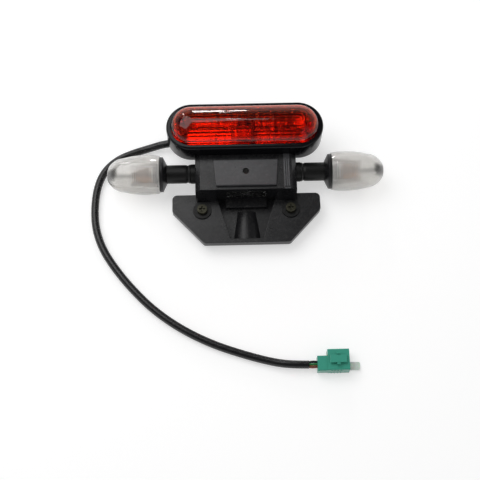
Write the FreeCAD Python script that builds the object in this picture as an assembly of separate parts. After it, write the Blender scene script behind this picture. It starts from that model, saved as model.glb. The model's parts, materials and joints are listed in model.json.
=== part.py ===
"""Rear light set of a small motorcycle: tail lamp, plate bracket, two indicators, cable and connector.

Millimetres. The set lies on its back: +Z comes out of the lens, +Y is the top of the lamp as it hangs
on the vehicle, +X is the viewer's right. Z = 0 is the rear face of the mounting plate.
"""
import FreeCAD, Part
import math
import os

V = FreeCAD.Vector
X_AXIS = V(1, 0, 0)
Y_AXIS = V(0, 1, 0)
Z_AXIS = V(0, 0, 1)

# Stack of layers from the mounting face towards the lens
PLATE_T = 2.5
REAR_COVER_T = 2.5
BOX_DEPTH = 31.0
TONGUE_DEPTH = 13.0
HOUSING_DEPTH = 32.0
BACK_Z = PLATE_T + REAR_COVER_T
BOX_Z = BACK_Z + BOX_DEPTH
SHELF_Z = BACK_Z + TONGUE_DEPTH
RIM_Z = SHELF_Z + HOUSING_DEPTH

# Fits and gaps
SCREW_GAP = 0.05
SEAT_GAP = 0.25
HOLE_GAP = 0.3
STALK_GAP = 0.3
PIN_GAP = 0.05
BORE_SPARE = 1.0
LEAST_EDGE = 0.5

# Cross recess of every screw, as shares of its head
RECESS_SPAN = 1.1
RECESS_W = 0.24
RECESS_DEPTH = 0.5

# Body box and the tongue that carries the lamp housing
BOX_W = 103.0
BOX_TOP_Y = 19.0
BOX_BOTTOM_Y = -20.0
BOX_CHAMFER = 5.0
BODY_WALL = 3.0
SHELF_T = 2.5
TONGUE_W = 92.0
TONGUE_LENGTH = 45.0
TONGUE_CORNER_R = 12.0
TONGUE_TOP_Y = BOX_TOP_Y + TONGUE_LENGTH
STRIP_X = 38.6
STRIP_W = 5.9
STRIP_T = 1.5
STRIP_MARGIN = 2.0
STRIP_TOP_MARGIN = 6.0
STRIP_GROOVES = 2
STRIP_GROOVE_W = 0.7
STRIP_GROOVE_T = 0.8

# Red lens, an oblong with round ends
LENS_W = 150.0
LENS_H = 42.0
LENS_WALL = 2.5
LENS_CROWN = 14.0
LENS_EDGE_R = 10.0
LENS_SEAT_DEPTH = 4.5
GASKET_T = 1.5
LENS_SEAT_Z = RIM_Z - LENS_SEAT_DEPTH
LEDGE_Z = LENS_SEAT_Z - GASKET_T
LENS_POST_R = 3.75
LENS_POST_INSET = 11.5
LENS_POST_FOOT = 3.3
LENS_POST_X = LENS_W / 2 - LENS_POST_INSET

# Lamp housing, an oblong round the lens
RIM_SIDE = 5.0
RIM_OVER = 5.0
HOUSING_W = LENS_W + 2 * RIM_SIDE
HOUSING_H = LENS_H + 2 * RIM_OVER
HOUSING_WALL = 3.0
RIM_R = 2.5
HOUSING_BACK_R = 9.0
HOUSING_Y = BOX_TOP_Y + HOUSING_H / 2
LEDGE_W = 3.0
LEDGE_T = 2.5

# Reflector, bulb and socket of the tail lamp
REFLECTOR_GAP = 0.5
REFLECTOR_T = 1.5
REFLECTOR_DEPTH = 19.0
REFLECTOR_FLOOR_R = 8.0
REFLECTOR_BULGE_OUT = 0.78
REFLECTOR_BULGE_UP = 0.42
SOCKET_R = 10.0
SOCKET_FLANGE_R = 13.0
SOCKET_FLANGE_T = 1.5
SOCKET_BACK = 9.0
SOCKET_FRONT = 8.0
SOCKET_FLOOR_T = 2.5
CAP_R = 7.5
CAP_LENGTH = 18.0
CONTACT_T = 1.2
TAIL_BULB_R = 11.0
TAIL_BULB_LENGTH = 26.0

# Number plate bracket
WING_W = 151.0
WING_TOP_Y = -16.2
WING_CORNER_Y = -34.5
WING_BOTTOM_W = 87.2
WING_BOTTOM_Y = -69.5
WING_FRONT_Z = 16.0
WING_T = 4.0
WING_CORNER_R = 5.0
SKIRT_T = 3.0
SKIRT_DEPTH = 4.0
RIB_YS = (-23.0, -46.0, -58.0)
RIB_T = 2.0
RIB_DEPTH = 3.0
GUSSET_INNER_X = 31.0
GUSSET_OUTER_X = 50.0
GUSSET_RUN = 4.5
GUSSET_DROP = 1.0

# Recess between the wings, with its rounded ridge and shelf
TROUGH_TOP_W = 60.0
TROUGH_BOTTOM_W = 33.4
TROUGH_DEPTH = 9.0
TROUGH_END = 4.5
TROUGH_WALL = 2.5
RIDGE_TOP_R = 12.0
RIDGE_BOTTOM_R = 16.0
RIDGE_SINK = 8.0
RIDGE_LENGTH = 32.0
LEDGE_STEP_W = 42.0
LEDGE_STEP_LENGTH = 9.0
LEDGE_STEP_H = 4.0

# Number plate fixings
PLATE_HOLE_DX = 90.0
PLATE_HOLE_Y = -34.0
GROMMET_R = 9.3
GROMMET_NECK_R = 5.0
GROMMET_FLANGE_T = 1.6
PLATE_SCREW_R = 3.0
PLATE_HEAD_R = 5.2
PLATE_HEAD_T = 3.5
PLATE_NUT_AF = 10.0
PLATE_NUT_T = 4.8

# Front panel
COVER_TOP_W = 66.0
COVER_BOTTOM_W = 61.0
COVER_TOP_Y = 11.7
COVER_BOTTOM_Y = -16.7
COVER_T = 3.0
COVER_EDGE_R = 0.8
COVER_CORNER_R = 1.5
COVER_SCREW_Y = -1.0
COVER_SCREW_R = 1.6
COVER_HEAD_R = 3.0
COVER_HEAD_T = 0.9
COVER_FLOOR_T = 0.8
COVER_BOSS_R = 4.0
COVER_BOSS_LENGTH = 11.0
COVER_SCREW_LENGTH = 12.0

# Number plate lamp in the underside of the box
WINDOW_W = 40.0
WINDOW_H = 12.0
WINDOW_DROP = 11.0
WINDOW_Z = BOX_Z - WINDOW_DROP
WINDOW_PROUD = 1.0
WINDOW_FLANGE = 2.0
WINDOW_FLANGE_T = 1.5
FESTOON_R = 4.5
FESTOON_LENGTH = 24.0
FESTOON_EDGE_R = 1.5
FESTOON_CAP_R = 3.5
FESTOON_CAP_LENGTH = 6.0
FESTOON_GAP = 1.0
CLIP_T = 0.8
CLIP_W = 6.0

# Rear cover, mounting plate and their screws
COVER_SCREWS = ((44.0, -12.0), (38.0, 55.0))
POST_R = 3.5
REAR_SCREW_R = 1.5
REAR_HEAD_R = 3.0
REAR_HEAD_T = 2.0
REAR_SCREW_LENGTH = 9.0
MOUNT_W = 60.0
MOUNT_BOTTOM_Y = -14.0
MOUNT_TOP_Y = 62.0
MOUNT_CORNER_R = 6.0
MOUNT_HOLE_DX = 40.0
MOUNT_HOLE_DY = 50.0
MOUNT_HOLE_Y = 23.0
MOUNT_BOLT_R = 3.0
WELD_NUT_AF = 10.0
WELD_NUT_T = 5.0
MOUNT_SCREWS = ((0.0, 9.0), (-10.0, 56.5), (10.0, 56.5))
MOUNT_SCREW_R = 1.8
MOUNT_HEAD_R = 3.6
MOUNT_HEAD_T = 1.8
MOUNT_POST_R = 4.0
MOUNT_SCREW_LENGTH = 8.0

# Screws that hold the lamp housing and the lens
HOUSING_SCREW_X = 30.0
HOUSING_SCREW_R = 1.8
HOUSING_HEAD_R = 3.4
HOUSING_HEAD_T = 2.5
HOUSING_SCREW_LENGTH = 11.0
HOUSING_POST_R = 4.5
HOUSING_POST_H = 10.0
LENS_SCREW_R = 1.6
LENS_HEAD_R = 3.4
LENS_HEAD_T = 1.6
LENS_SCREW_LENGTH = 16.0
LENS_HEAD_SINK = 0.4
LENS_SLEEVE_R = 5.0

# Indicators: distances from the middle of the set along X, and radii about the stalk's axis
STALK_Y = 4.5
STALK_Z = 22.0
STALK_R = 8.25
SLEEVE_R = 9.5
SLEEVE_START = 3.0
STALK_BORE_R = 2.5
FLEX_OUT = 4.5
FOOT_COLLAR_R = 10.0
FOOT_NECK_R = 8.7
FOOT_FLANGE_R = 10.4
FOOT_FLANGE_T = 3.5
STALK_LENGTH = 24.5
STALK_SPIGOT_R = 6.0
STALK_SPIGOT = 2.8
BASE_R = 18.0
BASE_START_LIP = 0.5
BASE_FLARE = 4.0
BASE_RIM_T = 2.0
BASE_FLOOR_T = 3.0
SPIGOT_T = 2.5
SPIGOT_WALL = 3.0
LAMP_GASKET_T = 1.0
LAMP_WALL = 1.8
LAMP_LENGTH = 53.5
LAMP_START_R = 19.3
LAMP_BELLY_R = 20.5
LAMP_BELLY = 14.0
LAMP_SHOULDER_R = 17.6
LAMP_SHOULDER = 37.0
LAMP_TIP_R = 6.0
LAMP_TIP_BULGE_ALONG = 0.18
LAMP_TIP_BULGE_OUT = 0.12
POCKET_R = 4.2
POCKET_DEPTH = 4.5
TIP_FLOOR_T = 2.2
TIP_BOSS_R = 5.6
TIP_HEAD_R = 3.5
TIP_HEAD_T = 2.6
TIP_SCREW_R = 1.6
TIP_SCREW_LENGTH = 13.0
CARRIER_T = 1.2
CARRIER_R = 15.2
CARRIER_END_R = 13.0
CARRIER_LENGTH = 29.0
CARRIER_BOSS_R = 3.6
HOLDER_R = 9.0
HOLDER_LENGTH = 11.0
HOLDER_FLOOR_T = 3.0
LAMP_CAP_LENGTH = 11.0
LAMP_BULB_R = 8.8
LAMP_BULB_LENGTH = 17.0
FLEX_X = BOX_W / 2 + FLEX_OUT
BASE_X = FLEX_X + STALK_LENGTH
LAMP_X = BASE_X + BASE_FLARE + BASE_RIM_T + LAMP_GASKET_T
TIP_X = LAMP_X + LAMP_LENGTH

# Cable gland on the left side of the tongue
GLAND_Y = 47.3
GLAND_Z = 10.25
GLAND_R = 6.0
GLAND_TIP_R = 5.0
GLAND_LENGTH = 20.0
GLAND_NECK_R = 4.6
GLAND_FLANGE_T = 2.0
GLAND_FLANGE_LIP = 0.4

# Cable: one sleeved lead that lies on the table
CABLE_R = 4.0
TABLE_Z = 4.05
PLUG_AXIS_Y = -194.4
PLUG_AXIS_Z = 7.0
ARC_SHARE = 0.45
CABLE_END_X = 56.0
CABLE_END = V(CABLE_END_X, PLUG_AXIS_Y, PLUG_AXIS_Z)
CABLE_BENDS = (
    (-82.0, 47.3, 10.25),
    (-101.0, 45.4, TABLE_Z),
    (-119.5, 39.6, TABLE_Z),
    (-136.0, 31.5, TABLE_Z),
    (-149.0, 17.5, TABLE_Z),
    (-156.0, -1.5, TABLE_Z),
    (-158.5, -25.0, TABLE_Z),
    (-156.5, -49.0, TABLE_Z),
    (-148.5, -72.0, TABLE_Z),
    (-134.0, -94.0, TABLE_Z),
    (-115.5, -114.5, TABLE_Z),
    (-94.0, -135.5, TABLE_Z),
    (-68.0, -155.5, TABLE_Z),
    (-38.0, -171.5, TABLE_Z),
    (-7.0, -183.0, TABLE_Z),
    (20.0, -191.0, TABLE_Z + 0.6),
    (39.0, PLUG_AXIS_Y, PLUG_AXIS_Z),
)

# Connector at the end of the cable
WIRE_R = 0.95
WIRE_LENGTH = 8.0
WIRE_ROWS = 2
WIRES_PER_ROW = 3
WIRE_PITCH = 2.3
PLUG_NECK_W = 15.0
PLUG_NECK_H = 11.0
PLUG_NECK_LENGTH = 10.0
PLUG_W = 21.0
PLUG_H = 14.0
PLUG_LENGTH = 21.0
PLUG_WALL = 2.0
PLUG_CAVITY = 15.5
PLUG_EDGE_R = 1.2
PLUG_RIB_COUNT = 4
PLUG_RIB_W = 1.2
PLUG_RIB_T = 0.5
PLUG_RIB_PITCH = 3.0
TERMINAL_R = 1.4
TERMINAL_LENGTH = 6.0
TERMINAL_BORE_R = 0.7
TERMINAL_PITCH = 4.6
TONGUE_TAB_W = 8.0
TONGUE_TAB_T = 1.6
TONGUE_TAB_OUT = 11.0
TONGUE_TAB_IN = 5.0
TONGUE_TAB_R = 1.6
LATCH_LENGTH = 16.0
LATCH_W = 7.8
LATCH_T = 1.7
LATCH_EDGE_R = 0.55
LATCH_LIFT = 1.5
LATCH_PIVOT = 11.0
LATCH_PIN_R = 0.8
LATCH_EAR_T = 1.5
LATCH_EAR_LENGTH = 3.4
LATCH_SIDE_GAP = 0.4
PLUG_X = CABLE_END.x + WIRE_LENGTH
SHELL_Y = PLUG_AXIS_Y + (PLUG_W - PLUG_NECK_W) / 2
PLUG_FRONT_X = PLUG_X + PLUG_NECK_LENGTH + PLUG_LENGTH
PLUG_TOP_Z = PLUG_AXIS_Z + PLUG_H / 2
LATCH_X = PLUG_FRONT_X - LATCH_PIVOT
LATCH_Z = PLUG_TOP_Z + LATCH_LIFT + LATCH_T / 2


def block(x0, x1, y0, y1, z0, z1):
    """Box between two corners."""
    return Part.makeBox(x1 - x0, y1 - y0, z1 - z0, V(x0, y0, z0))


def rod(radius, length, start, direction=Z_AXIS):
    """Round bar from a start point along a direction."""
    return Part.makeCylinder(radius, length, start, direction)


def pipe(outer_r, inner_r, length, start, direction=Z_AXIS):
    """Round tube."""
    return rod(outer_r, length, start, direction).cut(rod(inner_r, length, start, direction))


def hexagon(across_flats, thickness, centre):
    """Hexagonal prism standing on a centre point."""
    radius = across_flats / math.sqrt(3)
    corners = [centre + V(radius * math.cos(math.radians(60 * i)), radius * math.sin(math.radians(60 * i)), 0)
               for i in range(7)]
    return Part.Face(Part.makePolygon(corners)).extrude(V(0, 0, thickness))


def outline(items):
    """Closed face in the YZ plane from (r, z) points; a pair of points is an arc, via one to the other."""
    edges = []
    last = V(0, items[0][0], items[0][1])
    for item in list(items[1:]) + [items[0]]:
        if isinstance(item[0], tuple):
            via = V(0, item[0][0], item[0][1])
            end = V(0, item[1][0], item[1][1])
            edges.append(Part.Arc(last, via, end).toShape())
        else:
            end = V(0, item[0], item[1])
            edges.append(Part.LineSegment(last, end).toShape())
        last = end
    return Part.Face(Part.Wire(edges))


def oblong(items, width, height, centre_y):
    """Solid whose section from its middle line to its edge is the given outline, with round ends."""
    half = (width - height) / 2
    face = outline(items)
    middle = face.copy()
    middle.translate(V(-half, 0, 0))
    solid = middle.extrude(V(2 * half, 0, 0))
    other = solid.mirror(V(0, 0, 0), Y_AXIS)
    right = face.revolve(V(0, 0, 0), Z_AXIS, -180)
    right.translate(V(half, 0, 0))
    left = face.revolve(V(0, 0, 0), Z_AXIS, 180)
    left.translate(V(-half, 0, 0))
    whole = solid.fuse([other, right, left]).removeSplitter()
    whole.translate(V(0, centre_y, 0))
    return whole


def dome(edge_r, edge_z, top_z, rho):
    """Edge arc and crown arc, tangent to each other, from an upright edge to a level top."""
    centre_r = edge_r - rho
    rise = top_z - edge_z
    crown = (centre_r ** 2 + rise ** 2 - rho ** 2) / (2 * (rise - rho))
    crown_z = top_z - crown
    angle = math.atan2(edge_z - crown_z, centre_r)
    join = (crown * math.cos(angle), crown_z + crown * math.sin(angle))
    half_edge = (centre_r + rho * math.cos(angle / 2), edge_z + rho * math.sin(angle / 2))
    between = (angle + math.pi / 2) / 2
    half_crown = (crown * math.cos(between), crown_z + crown * math.sin(between))
    return [(half_edge, join), (half_crown, (0.0, top_z))]


def rounded_plate(corners, radius, z0, z1):
    """Flat plate with the given corners, each rounded with one radius."""
    edges = []
    starts = []
    ends = []
    count = len(corners)
    for i in range(count):
        here = V(corners[i][0], corners[i][1], z0)
        before = V(corners[i - 1][0], corners[i - 1][1], z0)
        after = V(corners[(i + 1) % count][0], corners[(i + 1) % count][1], z0)
        back = (before - here).normalize()
        ahead = (after - here).normalize()
        half = back.getAngle(ahead) / 2
        trim = radius / math.tan(half)
        centre = here + (back + ahead).normalize() * (radius / math.sin(half))
        middle = centre + (here - centre).normalize() * radius
        starts.append(here + back * trim)
        ends.append(here + ahead * trim)
        edges.append(Part.Arc(starts[i], middle, ends[i]).toShape())
        if i > 0:
            edges.insert(-1, Part.LineSegment(ends[i - 1], starts[i]).toShape())
    edges.append(Part.LineSegment(ends[-1], starts[0]).toShape())
    return Part.Face(Part.Wire(edges)).extrude(V(0, 0, z1 - z0))


def prism_along_x(points, x0, x1):
    """Prism of a (y, z) polygon between two X positions."""
    corners = [V(x0, y, z) for y, z in points]
    return Part.Face(Part.makePolygon(corners + [corners[0]])).extrude(V(x1 - x0, 0, 0))


def prism_along_y(points, y0, y1):
    """Prism of an (x, z) polygon between two Y positions."""
    corners = [V(x, y0, z) for x, z in points]
    return Part.Face(Part.makePolygon(corners + [corners[0]])).extrude(V(0, y1 - y0, 0))


def prism_along_z(points, z0, z1):
    """Prism of an (x, y) polygon between two Z positions."""
    corners = [V(x, y, z0) for x, y in points]
    return Part.Face(Part.makePolygon(corners + [corners[0]])).extrude(V(0, 0, z1 - z0))


def edges_at_z(shape, z):
    """Edges that lie wholly in one level."""
    return [e for e in shape.Edges if all(abs(v.Z - z) < 1e-6 for v in e.Vertexes)
            and abs(e.BoundBox.ZMax - z) < 1e-6 and abs(e.BoundBox.ZMin - z) < 1e-6]


def mirrored(shape):
    """The same piece for the other side of the set."""
    return shape.mirror(V(0, 0, 0), X_AXIS)


def both_sides(shape):
    """A piece and its mirror image, as separate solids of one node."""
    return Part.makeCompound([shape, mirrored(shape)])


def screw(head_r, head_t, shaft_r, shaft_length, under_head, direction):
    """Pan head screw; the shaft leaves the head along the direction, and the head has a cross recess."""
    head = rod(head_r, head_t, under_head, direction * -1)
    shaft = rod(shaft_r, shaft_length, under_head, direction)
    slot_length = head_r * RECESS_SPAN
    slot_w = head_r * RECESS_W
    depth = head_t * RECESS_DEPTH
    long_slot = block(-slot_length / 2, slot_length / 2, -slot_w / 2, slot_w / 2, 0, depth)
    cross_slot = block(-slot_w / 2, slot_w / 2, -slot_length / 2, slot_length / 2, 0, depth)
    recess = long_slot.fuse(cross_slot)
    recess.Placement = FreeCAD.Placement(under_head - direction * head_t, FreeCAD.Rotation(Z_AXIS, direction))
    return head.fuse(shaft).cut(recess)


def box_section(inset):
    """Section of the body box with chamfered front corners, (x, z), drawn in by a wall."""
    side = BOX_W / 2 - inset
    front = BOX_Z - inset
    cut = BOX_CHAMFER - inset * (2 - math.sqrt(2))
    cut = max(cut, LEAST_EDGE)
    back = BACK_Z
    return [(-side, back), (side, back), (side, front - cut), (side - cut, front),
            (-side + cut, front), (-side, front - cut)]


def tongue(inset, z0, z1, y0):
    """Flat tongue behind the lamp housing, with round top corners."""
    half = TONGUE_W / 2 - inset
    top = TONGUE_TOP_Y - inset
    corner = TONGUE_CORNER_R - inset
    low = block(-half, half, y0, top - corner, z0, z1)
    high = block(-half + corner, half - corner, y0, top, z0, z1)
    rounds = [rod(corner, z1 - z0, V(side * (half - corner), top - corner, z0)) for side in (-1, 1)]
    return low.fuse([high] + rounds).removeSplitter()


def wing_corners(inset):
    """Outline of the plate bracket, drawn in by an inset, from its top left corner."""
    side = WING_W / 2 - inset
    slope = math.atan2(WING_CORNER_Y - WING_BOTTOM_Y, (WING_W - WING_BOTTOM_W) / 2)
    shift = inset * math.tan(slope / 2)
    corner = WING_CORNER_Y + inset * math.tan((math.pi / 2 - slope) / 2)
    bottom = WING_BOTTOM_W / 2 - shift
    return [(-side, WING_TOP_Y - inset), (side, WING_TOP_Y - inset), (side, corner),
            (bottom, WING_BOTTOM_Y + inset), (-bottom, WING_BOTTOM_Y + inset), (-side, corner)]


def trough(inset, z0, z1, y_top):
    """Tapered well between the wings."""
    top = TROUGH_TOP_W / 2 + inset
    bottom = TROUGH_BOTTOM_W / 2 + inset
    y_end = WING_BOTTOM_Y + TROUGH_END - inset
    return prism_along_z([(-top, y_top), (top, y_top), (bottom, y_end), (-bottom, y_end)], z0, z1)


def ridge(shrink, floor_z):
    """Rounded ridge on the floor of the well, wider towards the bottom."""
    y_end = WING_BOTTOM_Y + TROUGH_END
    start = V(0, y_end + RIDGE_LENGTH, floor_z - RIDGE_SINK)
    cone = Part.makeCone(RIDGE_TOP_R - shrink, RIDGE_BOTTOM_R - shrink, RIDGE_LENGTH, start, Y_AXIS * -1)
    floor = floor_z - TROUGH_WALL
    return cone.common(block(-RIDGE_BOTTOM_R, RIDGE_BOTTOM_R, y_end, y_end + RIDGE_LENGTH, floor, RIM_Z))


def grip_strip():
    """Raised strip beside the front panel, with grooves along it."""
    low = BOX_BOTTOM_Y + STRIP_MARGIN
    high = BOX_TOP_Y - STRIP_TOP_MARGIN
    strip = block(STRIP_X, STRIP_X + STRIP_W, low, high, BOX_Z - BODY_WALL / 2, BOX_Z + STRIP_T)
    pitch = STRIP_W / (STRIP_GROOVES + 1)
    top = BOX_Z + STRIP_T
    for i in range(STRIP_GROOVES):
        middle = STRIP_X + (i + 1) * pitch
        strip = strip.cut(block(middle - STRIP_GROOVE_W / 2, middle + STRIP_GROOVE_W / 2, low, high,
                                top - STRIP_GROOVE_T, top))
    return strip


def wing_ribs(wing_back):
    """Stiffening ribs across the back of the wings, from the well's wall to the skirt."""
    back = wing_back - RIB_DEPTH
    inside = rounded_plate(wing_corners(SKIRT_T / 2), WING_CORNER_R - SKIRT_T / 2, back, wing_back)
    ribs = []
    for y in RIB_YS:
        for side in (-1, 1):
            near = side * TROUGH_BOTTOM_W / 2
            far = side * WING_W / 2
            bar = block(min(near, far), max(near, far), y - RIB_T / 2, y + RIB_T / 2, back, wing_back)
            ribs.append(bar.common(inside))
    return ribs


def body_bracket():
    """Box, tongue and plate bracket in one moulding, open at the back."""
    wing_back = WING_FRONT_Z - WING_T
    floor_z = WING_FRONT_Z - TROUGH_DEPTH
    solid = prism_along_y(box_section(0), BOX_BOTTOM_Y, BOX_TOP_Y)
    solid = solid.fuse(tongue(0, BACK_Z, SHELF_Z, BOX_TOP_Y - BODY_WALL))
    solid = solid.fuse(rounded_plate(wing_corners(0), WING_CORNER_R, wing_back, WING_FRONT_Z))
    skirt = rounded_plate(wing_corners(0), WING_CORNER_R, wing_back - SKIRT_DEPTH, wing_back)
    inner = rounded_plate(wing_corners(SKIRT_T), WING_CORNER_R - SKIRT_T, wing_back - SKIRT_DEPTH, wing_back)
    solid = solid.fuse(skirt.cut(inner))
    solid = solid.fuse(trough(TROUGH_WALL, floor_z - TROUGH_WALL, wing_back, BOX_BOTTOM_Y))
    gusset = prism_along_x([(BOX_BOTTOM_Y, wing_back), (BOX_BOTTOM_Y, BOX_Z - GUSSET_DROP),
                            (BOX_BOTTOM_Y - GUSSET_RUN, WING_FRONT_Z), (BOX_BOTTOM_Y - GUSSET_RUN, wing_back)],
                           GUSSET_INNER_X, GUSSET_OUTER_X)
    solid = solid.fuse([gusset, mirrored(gusset)])
    solid = solid.fuse(grip_strip())
    solid = solid.fuse(wing_ribs(wing_back))
    solid = solid.cut(prism_along_y(box_section(BODY_WALL), BOX_BOTTOM_Y + BODY_WALL, BOX_TOP_Y - BODY_WALL))
    solid = solid.cut(tongue(BODY_WALL, BACK_Z, SHELF_Z - SHELF_T, BOX_TOP_Y - 2 * BODY_WALL))
    solid = solid.cut(trough(0, floor_z, WING_FRONT_Z, BOX_BOTTOM_Y))
    solid = solid.fuse(ridge(0, floor_z)).cut(ridge(TROUGH_WALL, floor_z))
    solid = solid.fuse(block(-LEDGE_STEP_W / 2, LEDGE_STEP_W / 2, BOX_BOTTOM_Y - LEDGE_STEP_LENGTH,
                             BOX_BOTTOM_Y, floor_z, floor_z + LEDGE_STEP_H))
    posts = [rod(COVER_BOSS_R, COVER_BOSS_LENGTH, V(0, COVER_SCREW_Y, BOX_Z - BODY_WALL - COVER_BOSS_LENGTH))]
    for side in (-1, 1):
        for x, y in COVER_SCREWS:
            top = BOX_Z - BODY_WALL if y < BOX_TOP_Y - BODY_WALL else SHELF_Z - SHELF_T
            posts.append(rod(POST_R, top - BACK_Z, V(side * x, y, BACK_Z)))
    for x, y in MOUNT_SCREWS:
        top = BOX_Z - BODY_WALL if y < BOX_TOP_Y - BODY_WALL else SHELF_Z - SHELF_T
        posts.append(rod(MOUNT_POST_R, top - BACK_Z, V(x, y, BACK_Z)))
    solid = solid.fuse(posts)
    return solid.cut(body_holes()).removeSplitter()


def body_holes():
    """Every hole in the body moulding."""
    holes = [rod(COVER_SCREW_R + SCREW_GAP, COVER_SCREW_LENGTH + COVER_FLOOR_T,
                 V(0, COVER_SCREW_Y, BOX_Z + COVER_FLOOR_T - COVER_SCREW_LENGTH)),
             rod(SOCKET_R + HOLE_GAP, SHELF_T, V(0, HOUSING_Y, SHELF_Z - SHELF_T)),
             block(-WINDOW_W / 2, WINDOW_W / 2, BOX_BOTTOM_Y, BOX_BOTTOM_Y + BODY_WALL,
                   WINDOW_Z - WINDOW_H / 2, WINDOW_Z + WINDOW_H / 2),
             rod(GLAND_NECK_R + SEAT_GAP, BODY_WALL, V(-TONGUE_W / 2, GLAND_Y, GLAND_Z), X_AXIS)]
    for x, y in MOUNT_SCREWS:
        holes.append(rod(MOUNT_SCREW_R + SCREW_GAP, MOUNT_SCREW_LENGTH, V(x, y, BACK_Z)))
    for side in (-1, 1):
        for x, y in COVER_SCREWS:
            holes.append(rod(REAR_SCREW_R + SCREW_GAP, REAR_SCREW_LENGTH, V(side * x, y, BACK_Z)))
        holes.append(rod(HOUSING_SCREW_R + HOLE_GAP, SHELF_T,
                         V(side * HOUSING_SCREW_X, HOUSING_Y, SHELF_Z - SHELF_T)))
        holes.append(rod(GROMMET_NECK_R + SCREW_GAP, WING_T,
                         V(side * PLATE_HOLE_DX / 2, PLATE_HOLE_Y, WING_FRONT_Z - WING_T)))
        holes.append(rod(FOOT_NECK_R + SCREW_GAP, BODY_WALL,
                         V(side * BOX_W / 2, STALK_Y, STALK_Z), X_AXIS * -side))
    return holes


def front_cover():
    """Raised panel on the front of the box, with a sunk hole for its screw."""
    corners = [(-COVER_TOP_W / 2, COVER_TOP_Y), (COVER_TOP_W / 2, COVER_TOP_Y),
               (COVER_BOTTOM_W / 2, COVER_BOTTOM_Y), (-COVER_BOTTOM_W / 2, COVER_BOTTOM_Y)]
    solid = rounded_plate(corners, COVER_CORNER_R, BOX_Z, BOX_Z + COVER_T)
    solid = solid.makeFillet(COVER_EDGE_R, edges_at_z(solid, BOX_Z + COVER_T))
    centre = V(0, COVER_SCREW_Y, BOX_Z)
    solid = solid.cut(rod(COVER_SCREW_R + HOLE_GAP, COVER_T, centre))
    return solid.cut(rod(COVER_HEAD_R + HOLE_GAP, COVER_T, centre + V(0, 0, COVER_FLOOR_T)))


def tail_housing():
    """Black shell of the tail lamp, with a lens ledge inside its rim."""
    edge = HOUSING_H / 2
    inside = edge - HOUSING_WALL
    seat = LENS_H / 2 + SEAT_GAP
    ledge = seat - LEDGE_W
    bend = math.sqrt(0.5)
    back_mid = (edge - HOUSING_BACK_R * (1 - bend), SHELF_Z + HOUSING_BACK_R * (1 - bend))
    rim_mid = (edge - RIM_R * (1 - bend), RIM_Z - RIM_R * (1 - bend))
    items = [(0.0, SHELF_Z), (edge - HOUSING_BACK_R, SHELF_Z), (back_mid, (edge, SHELF_Z + HOUSING_BACK_R)),
             (edge, RIM_Z - RIM_R), (rim_mid, (edge - RIM_R, RIM_Z)), (0.0, RIM_Z)]
    solid = oblong(items, HOUSING_W, HOUSING_H, HOUSING_Y)
    solid = solid.cut(oblong_block(seat, LEDGE_Z, RIM_Z))
    solid = solid.cut(oblong_block(ledge, LEDGE_Z - LEDGE_T, LEDGE_Z))
    reach = HOUSING_W - 2 * HOUSING_WALL
    inner_r = HOUSING_BACK_R - HOUSING_WALL
    floor = SHELF_Z + HOUSING_WALL
    inner_mid = (inside - inner_r * (1 - bend), floor + inner_r * (1 - bend))
    cavity = [(0.0, floor), (inside - inner_r, floor), (inner_mid, (inside, floor + inner_r)),
              (inside, LEDGE_Z - LEDGE_T), (0.0, LEDGE_Z - LEDGE_T)]
    solid = solid.cut(oblong(cavity, reach, 2 * inside, HOUSING_Y))
    adds = []
    holes = [rod(SOCKET_R + HOLE_GAP, HOUSING_WALL, V(0, HOUSING_Y, SHELF_Z))]
    for side in (-1, 1):
        post = V(side * HOUSING_SCREW_X, HOUSING_Y, floor)
        adds.append(rod(HOUSING_POST_R, HOUSING_POST_H, post))
        holes.append(rod(HOUSING_SCREW_R + SCREW_GAP, HOUSING_SCREW_LENGTH - SHELF_T,
                         V(post.x, HOUSING_Y, SHELF_Z)))
        sleeve = V(side * LENS_POST_X, HOUSING_Y, floor)
        adds.append(rod(LENS_SLEEVE_R, LENS_POST_FOOT - SEAT_GAP, sleeve))
        back = V(sleeve.x, HOUSING_Y, SHELF_Z)
        holes.append(rod(LENS_SCREW_R + HOLE_GAP, HOUSING_WALL + LENS_POST_FOOT, back))
        holes.append(rod(LENS_HEAD_R + HOLE_GAP, LENS_HEAD_T + LENS_HEAD_SINK, back))
    return solid.fuse(adds).cut(holes).removeSplitter()


def oblong_block(half_height, z0, z1):
    """Straight-sided filler of the lens's shape, set out from the lens's own middle line."""
    width = LENS_W - LENS_H + 2 * half_height
    items = [(0.0, z0), (half_height, z0), (half_height, z1), (0.0, z1)]
    return oblong(items, width, 2 * half_height, HOUSING_Y)


def lens_gasket():
    """Flat rubber ring between the ledge and the lens."""
    outer = LENS_H / 2
    inner = outer + SEAT_GAP - LEDGE_W
    return oblong_block(outer, LEDGE_Z, LENS_SEAT_Z).cut(oblong_block(inner, LEDGE_Z, LENS_SEAT_Z))


def lens_dome(inset):
    """Solid of the lens's outside, or of its hollow when drawn in by the wall."""
    edge = LENS_H / 2 - inset
    items = [(0.0, LENS_SEAT_Z), (edge, LENS_SEAT_Z), (edge, RIM_Z)]
    items += dome(edge, RIM_Z, RIM_Z + LENS_CROWN - inset, LENS_EDGE_R - inset)
    return oblong(items, LENS_W - 2 * inset, LENS_H - 2 * inset, HOUSING_Y)


def tail_lens():
    """Domed red lens with two screw posts."""
    outside = lens_dome(0)
    solid = outside.cut(lens_dome(LENS_WALL))
    foot = SHELF_Z + HOUSING_WALL + LENS_POST_FOOT
    posts = []
    bores = []
    for side in (-1, 1):
        start = V(side * LENS_POST_X, HOUSING_Y, foot)
        posts.append(rod(LENS_POST_R, RIM_Z + LENS_CROWN - foot, start).common(outside_column(outside, foot)))
        bores.append(rod(LENS_SCREW_R + SCREW_GAP, LENS_SCREW_LENGTH, start))
    return solid.fuse(posts).cut(bores).removeSplitter()


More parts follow.
